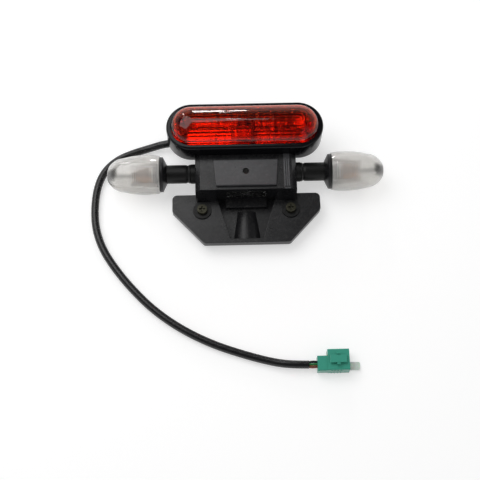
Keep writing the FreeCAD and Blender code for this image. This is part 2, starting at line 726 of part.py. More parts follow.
def outside_column(outside, foot):
    """The lens's outside together with the space below its seat."""
    below = oblong_block(LENS_H / 2, foot, LENS_SEAT_Z)
    return outside.fuse(below)


def tail_reflector():
    """Chrome bowl the size of the lens, seated on the floor of the housing and open for what stands there."""
    floor = SHELF_Z + HOUSING_WALL
    rim = LENS_H / 2 + SEAT_GAP - LEDGE_W - REFLECTOR_GAP

    def bowl(inset):
        """Solid of the bowl's outside or inside."""
        edge = rim - inset
        flat = REFLECTOR_FLOOR_R - inset
        low = floor + inset
        high = floor + REFLECTOR_DEPTH
        via = (flat + REFLECTOR_BULGE_OUT * (edge - flat), low + REFLECTOR_BULGE_UP * (high - low))
        items = [(0.0, low), (flat, low), (via, (edge, high)), (0.0, high)]
        return oblong(items, LENS_W - LENS_H + 2 * edge, 2 * edge, HOUSING_Y)

    solid = bowl(0).cut(bowl(REFLECTOR_T))
    holes = [rod(SOCKET_FLANGE_R + HOLE_GAP, REFLECTOR_DEPTH, V(0, HOUSING_Y, floor))]
    for x, radius in ((HOUSING_SCREW_X, HOUSING_POST_R), (LENS_POST_X, LENS_SLEEVE_R)):
        for side in (-1, 1):
            holes.append(rod(radius + HOLE_GAP, REFLECTOR_DEPTH, V(side * x, HOUSING_Y, floor)))
    return solid.cut(holes)


def tail_socket():
    """Steel bayonet socket with a flange on the housing's floor."""
    floor = SHELF_Z + HOUSING_WALL
    back = floor - HOUSING_WALL - SOCKET_BACK
    length = floor + SOCKET_FRONT - back
    solid = rod(SOCKET_R, length, V(0, HOUSING_Y, back))
    solid = solid.fuse(rod(SOCKET_FLANGE_R, SOCKET_FLANGE_T, V(0, HOUSING_Y, floor)))
    return solid.cut(rod(CAP_R + SCREW_GAP, length, V(0, HOUSING_Y, back + SOCKET_FLOOR_T)))


def tail_bulb():
    """Contact disc, metal cap and glass of the tail and brake bulb, in that order."""
    base = SHELF_Z - SOCKET_BACK + SOCKET_FLOOR_T
    disc = rod(CAP_R - HOLE_GAP, CONTACT_T, V(0, HOUSING_Y, base))
    cap_z = base + CONTACT_T
    cap = rod(CAP_R, CAP_LENGTH, V(0, HOUSING_Y, cap_z))
    neck_z = cap_z + CAP_LENGTH
    body_length = TAIL_BULB_LENGTH - TAIL_BULB_R
    glass = outline([(0.0, neck_z), (CAP_R, neck_z), (TAIL_BULB_R, neck_z + TAIL_BULB_R - CAP_R),
                     (TAIL_BULB_R, neck_z + body_length),
                     ((TAIL_BULB_R * math.sqrt(0.5), neck_z + body_length + TAIL_BULB_R * math.sqrt(0.5)),
                      (0.0, neck_z + TAIL_BULB_LENGTH))]).revolve(V(0, 0, 0), Z_AXIS, 360)
    glass.translate(V(0, HOUSING_Y, 0))
    return disc, cap, glass


def lens_screws():
    """Two screws from the back of the housing into the lens's posts."""
    under = SHELF_Z + LENS_HEAD_T + LENS_HEAD_SINK
    reach = HOUSING_WALL + LENS_POST_FOOT + LENS_SCREW_LENGTH - LENS_HEAD_T - LENS_HEAD_SINK - BORE_SPARE
    return both_sides(screw(LENS_HEAD_R, LENS_HEAD_T, LENS_SCREW_R, reach,
                            V(LENS_POST_X, HOUSING_Y, under), Z_AXIS))


def housing_screws():
    """Two screws from inside the tongue into the housing's posts."""
    under = SHELF_Z - SHELF_T
    return both_sides(screw(HOUSING_HEAD_R, HOUSING_HEAD_T, HOUSING_SCREW_R, HOUSING_SCREW_LENGTH,
                            V(HOUSING_SCREW_X, HOUSING_Y, under), Z_AXIS))


def rear_cover():
    """Flat cover over the open back of the body."""
    z0 = PLATE_T
    solid = block(-BOX_W / 2, BOX_W / 2, BOX_BOTTOM_Y, BOX_TOP_Y, z0, BACK_Z)
    solid = solid.fuse(tongue(0, z0, BACK_Z, BOX_TOP_Y - BODY_WALL))
    holes = []
    for x, y in mount_holes():
        holes.append(rod(WELD_NUT_AF / math.sqrt(3) + HOLE_GAP, REAR_COVER_T, V(x, y, z0)))
    for x, y in MOUNT_SCREWS:
        holes.append(rod(MOUNT_SCREW_R + HOLE_GAP, REAR_COVER_T, V(x, y, z0)))
    for side in (-1, 1):
        for x, y in COVER_SCREWS:
            holes.append(rod(REAR_SCREW_R + HOLE_GAP, REAR_COVER_T, V(side * x, y, z0)))
    return solid.cut(holes).removeSplitter()


def rear_cover_screws():
    """Four pan head screws through the rear cover."""
    solids = []
    for side in (-1, 1):
        for x, y in COVER_SCREWS:
            solids.append(screw(REAR_HEAD_R, REAR_HEAD_T, REAR_SCREW_R, REAR_SCREW_LENGTH,
                                V(side * x, y, PLATE_T), Z_AXIS))
    return Part.makeCompound(solids)


def mount_holes():
    """Centres of the four bolt holes that fasten the set to the vehicle."""
    return [(sx * MOUNT_HOLE_DX / 2, MOUNT_HOLE_Y + sy * MOUNT_HOLE_DY / 2) for sx in (-1, 1) for sy in (-1, 1)]


def mounting_plate():
    """Steel plate at the very back, with sunk places for its own screws."""
    half = MOUNT_W / 2
    corners = [(-half, MOUNT_TOP_Y), (half, MOUNT_TOP_Y), (half, MOUNT_BOTTOM_Y), (-half, MOUNT_BOTTOM_Y)]
    solid = rounded_plate(corners, MOUNT_CORNER_R, 0, PLATE_T)
    holes = [rod(MOUNT_BOLT_R, PLATE_T, V(x, y, 0)) for x, y in mount_holes()]
    for x, y in MOUNT_SCREWS:
        holes.append(rod(MOUNT_SCREW_R + HOLE_GAP, PLATE_T, V(x, y, 0)))
        holes.append(rod(MOUNT_HEAD_R + HOLE_GAP, MOUNT_HEAD_T + HOLE_GAP, V(x, y, 0)))
    return solid.cut(holes)


def weld_nuts():
    """Four nuts on the inner face of the mounting plate, in line with its holes."""
    nuts = []
    for x, y in mount_holes():
        nut = hexagon(WELD_NUT_AF, WELD_NUT_T, V(x, y, PLATE_T))
        nuts.append(nut.cut(rod(MOUNT_BOLT_R, WELD_NUT_T, V(x, y, PLATE_T))))
    return Part.makeCompound(nuts)


def mounting_plate_screws():
    """Screws that hold the mounting plate to the body, with heads below its face."""
    reach = PLATE_T - MOUNT_HEAD_T - HOLE_GAP + REAR_COVER_T + MOUNT_SCREW_LENGTH - BORE_SPARE
    solids = [screw(MOUNT_HEAD_R, MOUNT_HEAD_T, MOUNT_SCREW_R, reach,
                    V(x, y, MOUNT_HEAD_T + HOLE_GAP), Z_AXIS) for x, y in MOUNT_SCREWS]
    return Part.makeCompound(solids)


def cover_screw():
    """Screw in the middle of the front panel."""
    under = V(0, COVER_SCREW_Y, BOX_Z + COVER_FLOOR_T)
    return screw(COVER_HEAD_R, COVER_HEAD_T, COVER_SCREW_R, COVER_SCREW_LENGTH - BORE_SPARE, under, Z_AXIS * -1)


def plate_lamp_lens():
    """Clear window in the underside of the box, with a flange inside the wall."""
    half = WINDOW_W / 2 - SEAT_GAP
    low = WINDOW_Z - WINDOW_H / 2 + SEAT_GAP
    high = WINDOW_Z + WINDOW_H / 2 - SEAT_GAP
    inner = BOX_BOTTOM_Y + BODY_WALL
    pane = block(-half, half, BOX_BOTTOM_Y - WINDOW_PROUD, inner, low, high)
    flange = block(-half - WINDOW_FLANGE, half + WINDOW_FLANGE, inner, inner + WINDOW_FLANGE_T,
                   low - WINDOW_FLANGE, high + WINDOW_FLANGE - SEAT_GAP)
    hollow = block(-half + BODY_WALL, half - BODY_WALL, BOX_BOTTOM_Y + WINDOW_PROUD, inner + WINDOW_FLANGE_T,
                   low + WINDOW_FLANGE_T, high - WINDOW_FLANGE_T)
    return pane.fuse(flange).cut(hollow).removeSplitter()


def festoon():
    """Glass, end caps and holding clips of the number plate bulb, in that order."""
    y = BOX_BOTTOM_Y + BODY_WALL + WINDOW_FLANGE_T + FESTOON_GAP
    half = FESTOON_LENGTH / 2
    axis_y = y + FESTOON_R
    glass = rod(FESTOON_R, FESTOON_LENGTH, V(-half, axis_y, WINDOW_Z), X_AXIS)
    glass = glass.makeFillet(FESTOON_EDGE_R, [e for e in glass.Edges if e.Length > 2 * FESTOON_R
                                             and e.BoundBox.XLength < 1e-6])
    cap = rod(FESTOON_CAP_R, FESTOON_CAP_LENGTH, V(half, axis_y, WINDOW_Z), X_AXIS)
    clip_x = half + FESTOON_CAP_LENGTH
    clip = block(clip_x, clip_x + CLIP_T, axis_y - CLIP_W / 2, axis_y + CLIP_W / 2,
                 WINDOW_Z - FESTOON_CAP_R, BOX_Z - BODY_WALL)
    foot = block(clip_x - CLIP_W, clip_x, axis_y - CLIP_W / 2, axis_y + CLIP_W / 2,
                 BOX_Z - BODY_WALL - CLIP_T, BOX_Z - BODY_WALL)
    return glass, both_sides(cap), both_sides(clip.fuse(foot))


def plate_fixings():
    """Grommets, screws and nuts that wait for the number plate, in that order."""
    x = PLATE_HOLE_DX / 2
    back = WING_FRONT_Z - WING_T
    grommet = rod(GROMMET_NECK_R, WING_T + 2 * GROMMET_FLANGE_T, V(x, PLATE_HOLE_Y, back - GROMMET_FLANGE_T))
    for z in (back - GROMMET_FLANGE_T, WING_FRONT_Z):
        grommet = grommet.fuse(rod(GROMMET_R, GROMMET_FLANGE_T, V(x, PLATE_HOLE_Y, z)))
    grommet = grommet.cut(rod(PLATE_SCREW_R + SCREW_GAP, WING_T + 2 * GROMMET_FLANGE_T,
                              V(x, PLATE_HOLE_Y, back - GROMMET_FLANGE_T)))
    top = WING_FRONT_Z + GROMMET_FLANGE_T
    length = WING_T + 2 * GROMMET_FLANGE_T + PLATE_NUT_T
    bolt = screw(PLATE_HEAD_R, PLATE_HEAD_T, PLATE_SCREW_R, length, V(x, PLATE_HOLE_Y, top), Z_AXIS * -1)
    nut_z = back - GROMMET_FLANGE_T - PLATE_NUT_T
    nut = hexagon(PLATE_NUT_AF, PLATE_NUT_T, V(x, PLATE_HOLE_Y, nut_z))
    nut = nut.cut(rod(PLATE_SCREW_R + SCREW_GAP, PLATE_NUT_T, V(x, PLATE_HOLE_Y, nut_z)))
    return both_sides(grommet), both_sides(bolt), both_sides(nut)


def along(x, radius, length):
    """Round bar on the right indicator's axis, from one X along +X."""
    return rod(radius, length, V(x, STALK_Y, STALK_Z), X_AXIS)


def turned(items):
    """Turned solid on the right indicator's axis from (x, radius) items, as outline takes them."""
    def swap(item):
        """The same item as (radius, x)."""
        if isinstance(item[0], tuple):
            return (swap(item[0]), swap(item[1]))
        return (item[1], item[0])

    solid = outline([swap(item) for item in items]).revolve(V(0, 0, 0), Z_AXIS, 360)
    solid.Placement = FreeCAD.Placement(V(0, STALK_Y, STALK_Z), FreeCAD.Rotation(Z_AXIS, X_AXIS))
    return solid


def stalk_root():
    """Rubber foot held in the side wall, with the cup that the stalk bends in."""
    wall = BOX_W / 2
    inner = wall - BODY_WALL - FOOT_FLANGE_T
    hollow = prism_along_y(box_section(BODY_WALL), BOX_BOTTOM_Y, BOX_TOP_Y)
    solid = along(inner, FOOT_FLANGE_R, FOOT_FLANGE_T).common(hollow)
    solid = solid.fuse(along(wall - BODY_WALL, FOOT_NECK_R, BODY_WALL))
    solid = solid.fuse(along(wall, FOOT_COLLAR_R, FLEX_OUT))
    ball = Part.makeSphere(STALK_R + STALK_GAP, V(FLEX_X, STALK_Y, STALK_Z))
    return solid.cut(ball).cut(along(inner, STALK_BORE_R, FLEX_X - inner)).removeSplitter()


def stalk():
    """Rubber stalk with a round inner end, a thicker sleeve and a spigot in the indicator's base."""
    solid = Part.makeSphere(STALK_R, V(FLEX_X, STALK_Y, STALK_Z)).fuse(along(FLEX_X, STALK_R, STALK_LENGTH))
    solid = solid.fuse(along(FLEX_X + SLEEVE_START, SLEEVE_R, STALK_LENGTH - SLEEVE_START))
    solid = solid.fuse(along(BASE_X, STALK_SPIGOT_R, STALK_SPIGOT))
    return solid.cut(along(FLEX_X - STALK_R, STALK_BORE_R, STALK_R + STALK_LENGTH + STALK_SPIGOT))


def indicator_base():
    """Flared black base between the stalk and the lens."""
    rim_x = BASE_X + BASE_FLARE
    seat_x = rim_x + BASE_RIM_T
    spigot_r = LAMP_START_R - LAMP_WALL - SEAT_GAP
    start_r = SLEEVE_R + BASE_START_LIP
    solid = turned([(BASE_X, 0.0), (BASE_X, start_r), (rim_x, BASE_R), (seat_x, BASE_R), (seat_x, spigot_r),
                    (seat_x + SPIGOT_T, spigot_r), (seat_x + SPIGOT_T, 0.0)])
    solid = solid.cut(along(BASE_X, STALK_SPIGOT_R + SCREW_GAP, BASE_FLOOR_T))
    socket_x = BASE_X + BASE_FLOOR_T
    solid = solid.cut(along(socket_x, HOLDER_R + SCREW_GAP, seat_x + SPIGOT_T - socket_x))
    return solid.cut(along(seat_x, spigot_r - SPIGOT_WALL, SPIGOT_T))


def indicator_gasket():
    """Rubber ring between the base's rim and the lens."""
    seat_x = BASE_X + BASE_FLARE + BASE_RIM_T
    inner = LAMP_START_R - LAMP_WALL
    return along(seat_x, BASE_R, LAMP_GASKET_T).cut(along(seat_x, inner, LAMP_GASKET_T))


def lamp_shape(inset):
    """Bullet shape of the indicator's lens, or of its hollow when drawn in by the wall."""
    start = LAMP_START_R - inset
    shoulder = LAMP_SHOULDER_R - inset
    tip_x = TIP_X - inset
    tip_r = max(LAMP_TIP_R - inset, LEAST_EDGE)
    shoulder_x = LAMP_X + LAMP_SHOULDER
    end_via = ((shoulder_x + tip_x) / 2 + LAMP_TIP_BULGE_ALONG * (tip_x - shoulder_x),
               (shoulder + tip_r) / 2 + LAMP_TIP_BULGE_OUT * (shoulder - tip_r))
    return turned([(LAMP_X, 0.0), (LAMP_X, start), ((LAMP_X + LAMP_BELLY, LAMP_BELLY_R - inset),
                                                    (shoulder_x, shoulder)),
                   (end_via, (tip_x, tip_r)), (tip_x, 0.0)])


def indicator_lens():
    """Clear bullet-shaped lens with a sunk place for the screw at its tip."""
    solid = lamp_shape(0).cut(lamp_shape(LAMP_WALL))
    floor_x = TIP_X - POCKET_DEPTH
    back_x = floor_x - TIP_FLOOR_T
    solid = solid.fuse(along(back_x, TIP_BOSS_R, TIP_X - back_x).common(lamp_shape(0)))
    solid = solid.cut(along(floor_x, POCKET_R, POCKET_DEPTH))
    return solid.cut(along(back_x, TIP_SCREW_R + HOLE_GAP, TIP_FLOOR_T)).removeSplitter()


def indicator_screw():
    """Screw at the tip of the indicator."""
    under = V(TIP_X - POCKET_DEPTH, STALK_Y, STALK_Z)
    return screw(TIP_HEAD_R, TIP_HEAD_T, TIP_SCREW_R, TIP_SCREW_LENGTH, under, X_AXIS * -1)


def indicator_reflector():
    """Half-round silver tray behind the bulb, with the boss that takes the tip screw."""
    start = BASE_X + BASE_FLARE + BASE_RIM_T + SPIGOT_T
    end = start + CARRIER_LENGTH
    tray = turned([(start, 0.0), (start, CARRIER_R), (end, CARRIER_END_R), (end, 0.0)])
    hollow = turned([(start, 0.0), (start, CARRIER_R - CARRIER_T), (end - CARRIER_T, CARRIER_END_R - CARRIER_T),
                     (end - CARRIER_T, 0.0)])
    lower_half = block(start, end, STALK_Y - CARRIER_R, STALK_Y + CARRIER_R, STALK_Z - CARRIER_R, STALK_Z)
    boss_end = TIP_X - POCKET_DEPTH - TIP_FLOOR_T
    boss = along(end - CARRIER_T, CARRIER_BOSS_R, boss_end - end + CARRIER_T)
    bore = along(boss_end - TIP_SCREW_LENGTH, TIP_SCREW_R + SCREW_GAP, TIP_SCREW_LENGTH)
    return tray.cut(hollow).common(lower_half).fuse(boss).cut(bore).removeSplitter()


def indicator_bulb():
    """Socket, metal cap and amber glass of the indicator's bulb, in that order."""
    socket_x = BASE_X + BASE_FLOOR_T
    holder = along(socket_x, HOLDER_R, HOLDER_LENGTH)
    cap_x = socket_x + HOLDER_FLOOR_T
    holder = holder.cut(along(cap_x, CAP_R + SCREW_GAP, HOLDER_LENGTH))
    cap = along(cap_x, CAP_R, LAMP_CAP_LENGTH)
    neck_x = cap_x + LAMP_CAP_LENGTH
    body = LAMP_BULB_LENGTH - LAMP_BULB_R
    glass = turned([(neck_x, 0.0), (neck_x, CAP_R), (neck_x + LAMP_BULB_R - CAP_R, LAMP_BULB_R),
                    (neck_x + body, LAMP_BULB_R),
                    ((neck_x + body + LAMP_BULB_R * math.sqrt(0.5), LAMP_BULB_R * math.sqrt(0.5)),
                     (neck_x + LAMP_BULB_LENGTH, 0.0))])
    return holder, cap, glass


def cable_gland():
    """Rubber strain relief in the side of the tongue, tapering along the cable."""
    wall = -TONGUE_W / 2
    neck = rod(GLAND_NECK_R, BODY_WALL, V(wall, GLAND_Y, GLAND_Z), X_AXIS)
    flange = rod(GLAND_NECK_R + GLAND_FLANGE_LIP, GLAND_FLANGE_T, V(wall + BODY_WALL, GLAND_Y, GLAND_Z), X_AXIS)
    taper = Part.makeCone(GLAND_R, GLAND_TIP_R, GLAND_LENGTH, V(wall, GLAND_Y, GLAND_Z), X_AXIS * -1)
    return neck.fuse([flange, taper]).removeSplitter()


def cable_route():
    """Corner points of the cable from the gland's tip to its far end."""
    start = V(-TONGUE_W / 2 - GLAND_LENGTH, GLAND_Y, GLAND_Z)
    return [start] + [V(*point) for point in CABLE_BENDS] + [CABLE_END]


def cable():
    """Sleeved cable as straight runs joined by the largest arcs that the runs allow."""
    points = cable_route()
    edges = []
    radii = []
    last = points[0]
    for i in range(1, len(points) - 1):
        here = points[i]
        back = points[i - 1] - here
        ahead = points[i + 1] - here
        trim = ARC_SHARE * min(back.Length, ahead.Length)
        back.normalize()
        ahead.normalize()
        half_inside = back.getAngle(ahead) / 2
        radius = trim * math.tan(half_inside)
        radii.append(radius)
        centre = here + (back + ahead).normalize() * (trim / math.cos(half_inside))
        middle = centre + (here - centre).normalize() * radius
        edges.append(Part.LineSegment(last, here + back * trim).toShape())
        edges.append(Part.Arc(here + back * trim, middle, here + ahead * trim).toShape())
        last = here + ahead * trim
    edges.append(Part.LineSegment(last, points[-1]).toShape())
    path = Part.Wire(edges)
    along_start = points[1] - points[0]
    section = Part.Wire([Part.makeCircle(CABLE_R, points[0], along_start)])
    solid = path.makePipeShell([section], True, False)
    expected = math.pi * CABLE_R ** 2 * path.Length
    print("cable length", round(path.Length, 1), "volume share", round(solid.Volume / expected, 5))
    print("cable radii", [round(r) for r in radii])
    return solid


def wire_ends():
    """Thin insulated wires from the end of the sleeve into the connector."""
    wires = []
    for row in range(WIRE_ROWS):
        for place in range(WIRES_PER_ROW):
            y = PLUG_AXIS_Y + (place - (WIRES_PER_ROW - 1) / 2) * WIRE_PITCH
            z = PLUG_AXIS_Z + (row - (WIRE_ROWS - 1) / 2) * WIRE_PITCH
            wires.append(rod(WIRE_R, WIRE_LENGTH, V(CABLE_END.x, y, z), X_AXIS))
    return Part.makeCompound(wires)


def plug_block(centre_y, width, height, x0, x1, edge_r):
    """Block along the connector with rounded long edges."""
    solid = block(x0, x1, centre_y - width / 2, centre_y + width / 2,
                  PLUG_AXIS_Z - height / 2, PLUG_AXIS_Z + height / 2)
    long_edges = [e for e in solid.Edges if e.BoundBox.YLength < 1e-6 and e.BoundBox.ZLength < 1e-6]
    return solid.makeFillet(edge_r, long_edges)


def terminal_places():
    """Centres of the terminals in the floor of the connector's mouth."""
    for row in range(WIRE_ROWS):
        for place in range(WIRES_PER_ROW):
            yield (SHELL_Y + (place - (WIRES_PER_ROW - 1) / 2) * TERMINAL_PITCH,
                   PLUG_AXIS_Z + (row - (WIRE_ROWS - 1) / 2) * TERMINAL_PITCH)


def connector_housing():
    """Green connector body with an open mouth, and two ears for its latch."""
    middle = PLUG_X + PLUG_NECK_LENGTH
    solid = plug_block(PLUG_AXIS_Y, PLUG_NECK_W, PLUG_NECK_H, PLUG_X, middle, PLUG_EDGE_R)
    solid = solid.fuse(plug_block(SHELL_Y, PLUG_W, PLUG_H, middle, PLUG_FRONT_X, PLUG_EDGE_R))
    mouth = block(PLUG_FRONT_X - PLUG_CAVITY, PLUG_FRONT_X,
                  SHELL_Y - PLUG_W / 2 + PLUG_WALL, SHELL_Y + PLUG_W / 2 - PLUG_WALL,
                  PLUG_AXIS_Z - PLUG_H / 2 + PLUG_WALL, PLUG_TOP_Z - PLUG_WALL)
    solid = solid.cut(mouth)
    near_side = SHELL_Y - PLUG_W / 2
    for i in range(PLUG_RIB_COUNT):
        rib_x = middle + PLUG_RIB_PITCH * (i + 1)
        solid = solid.fuse(block(rib_x, rib_x + PLUG_RIB_W, near_side - PLUG_RIB_T, near_side + PLUG_WALL / 2,
                                 PLUG_AXIS_Z - PLUG_H / 2 + PLUG_WALL, PLUG_TOP_Z - PLUG_WALL))
    floor_x = PLUG_FRONT_X - PLUG_CAVITY
    holes = [rod(TERMINAL_R, TERMINAL_LENGTH, V(floor_x, y, z), X_AXIS * -1) for y, z in terminal_places()]
    solid = solid.cut(holes)
    ear_y = LATCH_W / 2 + LATCH_SIDE_GAP
    for side in (-1, 1):
        near = SHELL_Y + side * ear_y
        far = near + side * LATCH_EAR_T
        ear = block(LATCH_X - LATCH_EAR_LENGTH / 2, LATCH_X + LATCH_EAR_LENGTH / 2,
                    min(near, far), max(near, far),
                    PLUG_TOP_Z - PLUG_WALL / 2, LATCH_Z + LATCH_EAR_LENGTH / 2)
        solid = solid.fuse(ear)
    reach = 2 * (ear_y + LATCH_EAR_T)
    return solid.cut(rod(LATCH_PIN_R + PIN_GAP, reach, V(LATCH_X, SHELL_Y - reach / 2, LATCH_Z), Y_AXIS))


def connector_terminals():
    """Brass terminals, each with its own bore, flush with the floor of the mouth."""
    floor_x = PLUG_FRONT_X - PLUG_CAVITY
    return Part.makeCompound([pipe(TERMINAL_R, TERMINAL_BORE_R, TERMINAL_LENGTH, V(floor_x, y, z), X_AXIS * -1)
                              for y, z in terminal_places()])


def connector_tongue():
    """Pale retainer that lies on the floor of the mouth and reaches out of it."""
    low = PLUG_AXIS_Z - PLUG_H / 2 + PLUG_WALL
    side = SHELL_Y - PLUG_W / 2 + PLUG_WALL
    solid = block(PLUG_FRONT_X - TONGUE_TAB_IN, PLUG_FRONT_X + TONGUE_TAB_OUT, side, side + TONGUE_TAB_W,
                  low, low + TONGUE_TAB_T)
    upright = [e for e in solid.Edges if abs(e.BoundBox.ZLength - TONGUE_TAB_T) < 1e-6
               and e.BoundBox.XMin > PLUG_FRONT_X]
    return solid.makeFillet(TONGUE_TAB_R, upright)


def connector_latch():
    """Rocking latch on top of the connector, with its pins."""
    x0 = LATCH_X - LATCH_LENGTH / 2
    lever = block(x0, x0 + LATCH_LENGTH, SHELL_Y - LATCH_W / 2, SHELL_Y + LATCH_W / 2,
                  LATCH_Z - LATCH_T / 2, LATCH_Z + LATCH_T / 2)
    ends = [e for e in lever.Edges if e.BoundBox.XLength < 1e-6 and e.BoundBox.ZLength < 1e-6
            and e.BoundBox.ZMin > LATCH_Z]
    lever = lever.makeFillet(LATCH_EDGE_R, ends)
    reach = LATCH_W + 2 * (LATCH_SIDE_GAP + LATCH_EAR_T)
    return lever.fuse(rod(LATCH_PIN_R, reach, V(LATCH_X, SHELL_Y - reach / 2, LATCH_Z), Y_AXIS))


def save(name, shape):
    """Write one node and say what it holds."""
    count = len(shape.Solids)
    if not shape.isValid() or count == 0:
        raise ValueError(f"{name} is not a sound solid")
    shape.exportStep(f"parts/{name}.step")
    print(f"{name}: {count} solid(s), {shape.Volume:.0f} mm3")


def main():
    """Build and write every node."""
    os.makedirs("parts", exist_ok=True)
    contact, tail_cap, tail_glass = tail_bulb()
    festoon_glass, festoon_caps, festoon_clips = festoon()
    grommets, plate_bolts, plate_nuts = plate_fixings()
    holder, lamp_cap, lamp_glass = indicator_bulb()
    nodes = {
        "body_bracket": body_bracket(), "front_cover": front_cover(), "cover_screw": cover_screw(),
        "rear_cover": rear_cover(), "rear_cover_screws": rear_cover_screws(),
        "mounting_plate": mounting_plate(), "weld_nuts": weld_nuts(),
        "mounting_plate_screws": mounting_plate_screws(),
        "tail_housing": tail_housing(), "housing_screws": housing_screws(), "lens_gasket": lens_gasket(),
        "tail_lens": tail_lens(), "lens_screws": lens_screws(), "tail_reflector": tail_reflector(),
        "tail_bulb_socket": tail_socket(), "tail_bulb_contact": contact, "tail_bulb_cap": tail_cap,
        "tail_bulb_glass": tail_glass,
        "plate_lamp_lens": plate_lamp_lens(), "plate_lamp_bulb": festoon_glass,
        "plate_lamp_bulb_caps": festoon_caps, "plate_lamp_clips": festoon_clips,
        "plate_grommets": grommets, "plate_screws": plate_bolts, "plate_nuts": plate_nuts,
        "cable_gland": cable_gland(), "cable": cable(), "connector_wires": wire_ends(),
        "connector_housing": connector_housing(), "connector_terminals": connector_terminals(),
        "connector_tongue": connector_tongue(), "connector_latch": connector_latch(),
    }
    per_side = {
        "stalk_root": stalk_root(), "stalk": stalk(), "indicator_base": indicator_base(),
        "indicator_gasket": indicator_gasket(), "indicator_lens": indicator_lens(),
        "indicator_screw": indicator_screw(), "indicator_reflector": indicator_reflector(),
        "indicator_socket": holder, "indicator_bulb_cap": lamp_cap, "indicator_bulb_glass": lamp_glass,
    }
    for name, shape in per_side.items():
        nodes[f"right_{name}"] = shape
        nodes[f"left_{name}"] = mirrored(shape)
    for name, shape in nodes.items():
        save(name, shape)
    print(len(nodes), "nodes")


main()
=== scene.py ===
"""Looks of a small motorcycle's rear light set: lamp, plate bracket, two indicators, cable, connector.

Metres in the shared frame. +Z comes out of the red lens, +Y is the top of the lamp, +X is the viewer's
right. Sizes of pieces are written in millimetres and turned into metres where points are made. Those of
finishes are in metres.
"""
import json
import logging
import math
from collections.abc import Callable, Iterable, Sequence
from dataclasses import dataclass
from enum import Enum

import bpy
from mathutils import Matrix, Vector

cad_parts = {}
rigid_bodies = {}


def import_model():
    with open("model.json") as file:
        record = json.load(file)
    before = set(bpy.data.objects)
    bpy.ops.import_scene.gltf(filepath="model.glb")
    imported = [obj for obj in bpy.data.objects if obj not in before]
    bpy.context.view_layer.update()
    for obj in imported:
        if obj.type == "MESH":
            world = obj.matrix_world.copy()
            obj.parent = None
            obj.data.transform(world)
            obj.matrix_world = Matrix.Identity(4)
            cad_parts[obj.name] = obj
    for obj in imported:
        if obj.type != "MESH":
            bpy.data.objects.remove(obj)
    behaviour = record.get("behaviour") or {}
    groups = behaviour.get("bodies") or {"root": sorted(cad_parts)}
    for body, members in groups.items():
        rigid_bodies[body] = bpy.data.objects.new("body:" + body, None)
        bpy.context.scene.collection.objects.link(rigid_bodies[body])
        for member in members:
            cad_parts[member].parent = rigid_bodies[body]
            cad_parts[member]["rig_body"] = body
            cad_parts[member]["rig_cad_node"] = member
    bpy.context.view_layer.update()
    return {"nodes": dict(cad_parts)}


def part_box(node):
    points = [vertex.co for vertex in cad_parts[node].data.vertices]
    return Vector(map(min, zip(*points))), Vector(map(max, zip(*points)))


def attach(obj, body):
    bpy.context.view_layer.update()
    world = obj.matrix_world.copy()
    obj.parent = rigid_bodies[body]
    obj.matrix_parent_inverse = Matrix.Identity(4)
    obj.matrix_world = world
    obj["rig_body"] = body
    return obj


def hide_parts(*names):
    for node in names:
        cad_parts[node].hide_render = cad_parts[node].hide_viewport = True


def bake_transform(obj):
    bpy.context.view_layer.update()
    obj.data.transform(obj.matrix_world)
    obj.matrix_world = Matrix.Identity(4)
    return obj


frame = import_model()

LOG = logging.getLogger("rear_light_set")
MM = 0.001
TURN = 2 * math.pi
QUARTER = math.pi / 2
X_AXIS = Vector((1, 0, 0))
Y_AXIS = Vector((0, 1, 0))
Z_AXIS = Vector((0, 0, 1))
RISING = (0.0, 1.0)
FALLING = (1.0, 0.0)
MIX_SHARE, MIX_FIRST, MIX_SECOND, MIX_RESULT = 0, 6, 7, 2  # places of a Mix node's colour sockets
DOUBLES = 1e-6  # distances within which points are one: of a spun piece, a copy and an oblong
COPY_DOUBLES = 2e-6
OBLONG_DOUBLES = 4e-6
FLAT_ANGLE = math.radians(0.5)  # faces within it are one, and edges past the next are rounded
EDGE_ANGLE = math.radians(30.0)
WAVE_POINTS = 6  # points on each wave of a rippled line, and on each turn of a coil
COIL_POINTS = 8
COIL_R = 0.5
FILAMENT_R = 0.14

Colour = tuple[float, float, float]
Spot = tuple[float, float, float]
Pair = tuple[float, float]
Line = list[Pair]
Table = tuple[Pair, ...]
Piece = bpy.types.Object
Tree = bpy.types.NodeTree
Node = bpy.types.Node
Socket = bpy.types.NodeSocket
Outputs = bpy.types.NodeOutputs


class Side(Enum):
    """The two sides of the set, by the sign of X."""

    LEFT = -1
    RIGHT = 1

    def name_of(self, part: str) -> str:
        """Name of this side's node for a part."""
        return f"{self.name.lower()}_{part}"


class WireColour(Enum):
    """Insulation colours of the connector's six wires."""

    RED = (0.42, 0.02, 0.015)
    YELLOW = (0.62, 0.40, 0.03)
    BLUE = (0.03, 0.07, 0.30)
    BROWN = (0.12, 0.045, 0.02)
    GREEN = (0.03, 0.20, 0.06)
    BLACK = (0.015, 0.015, 0.015)


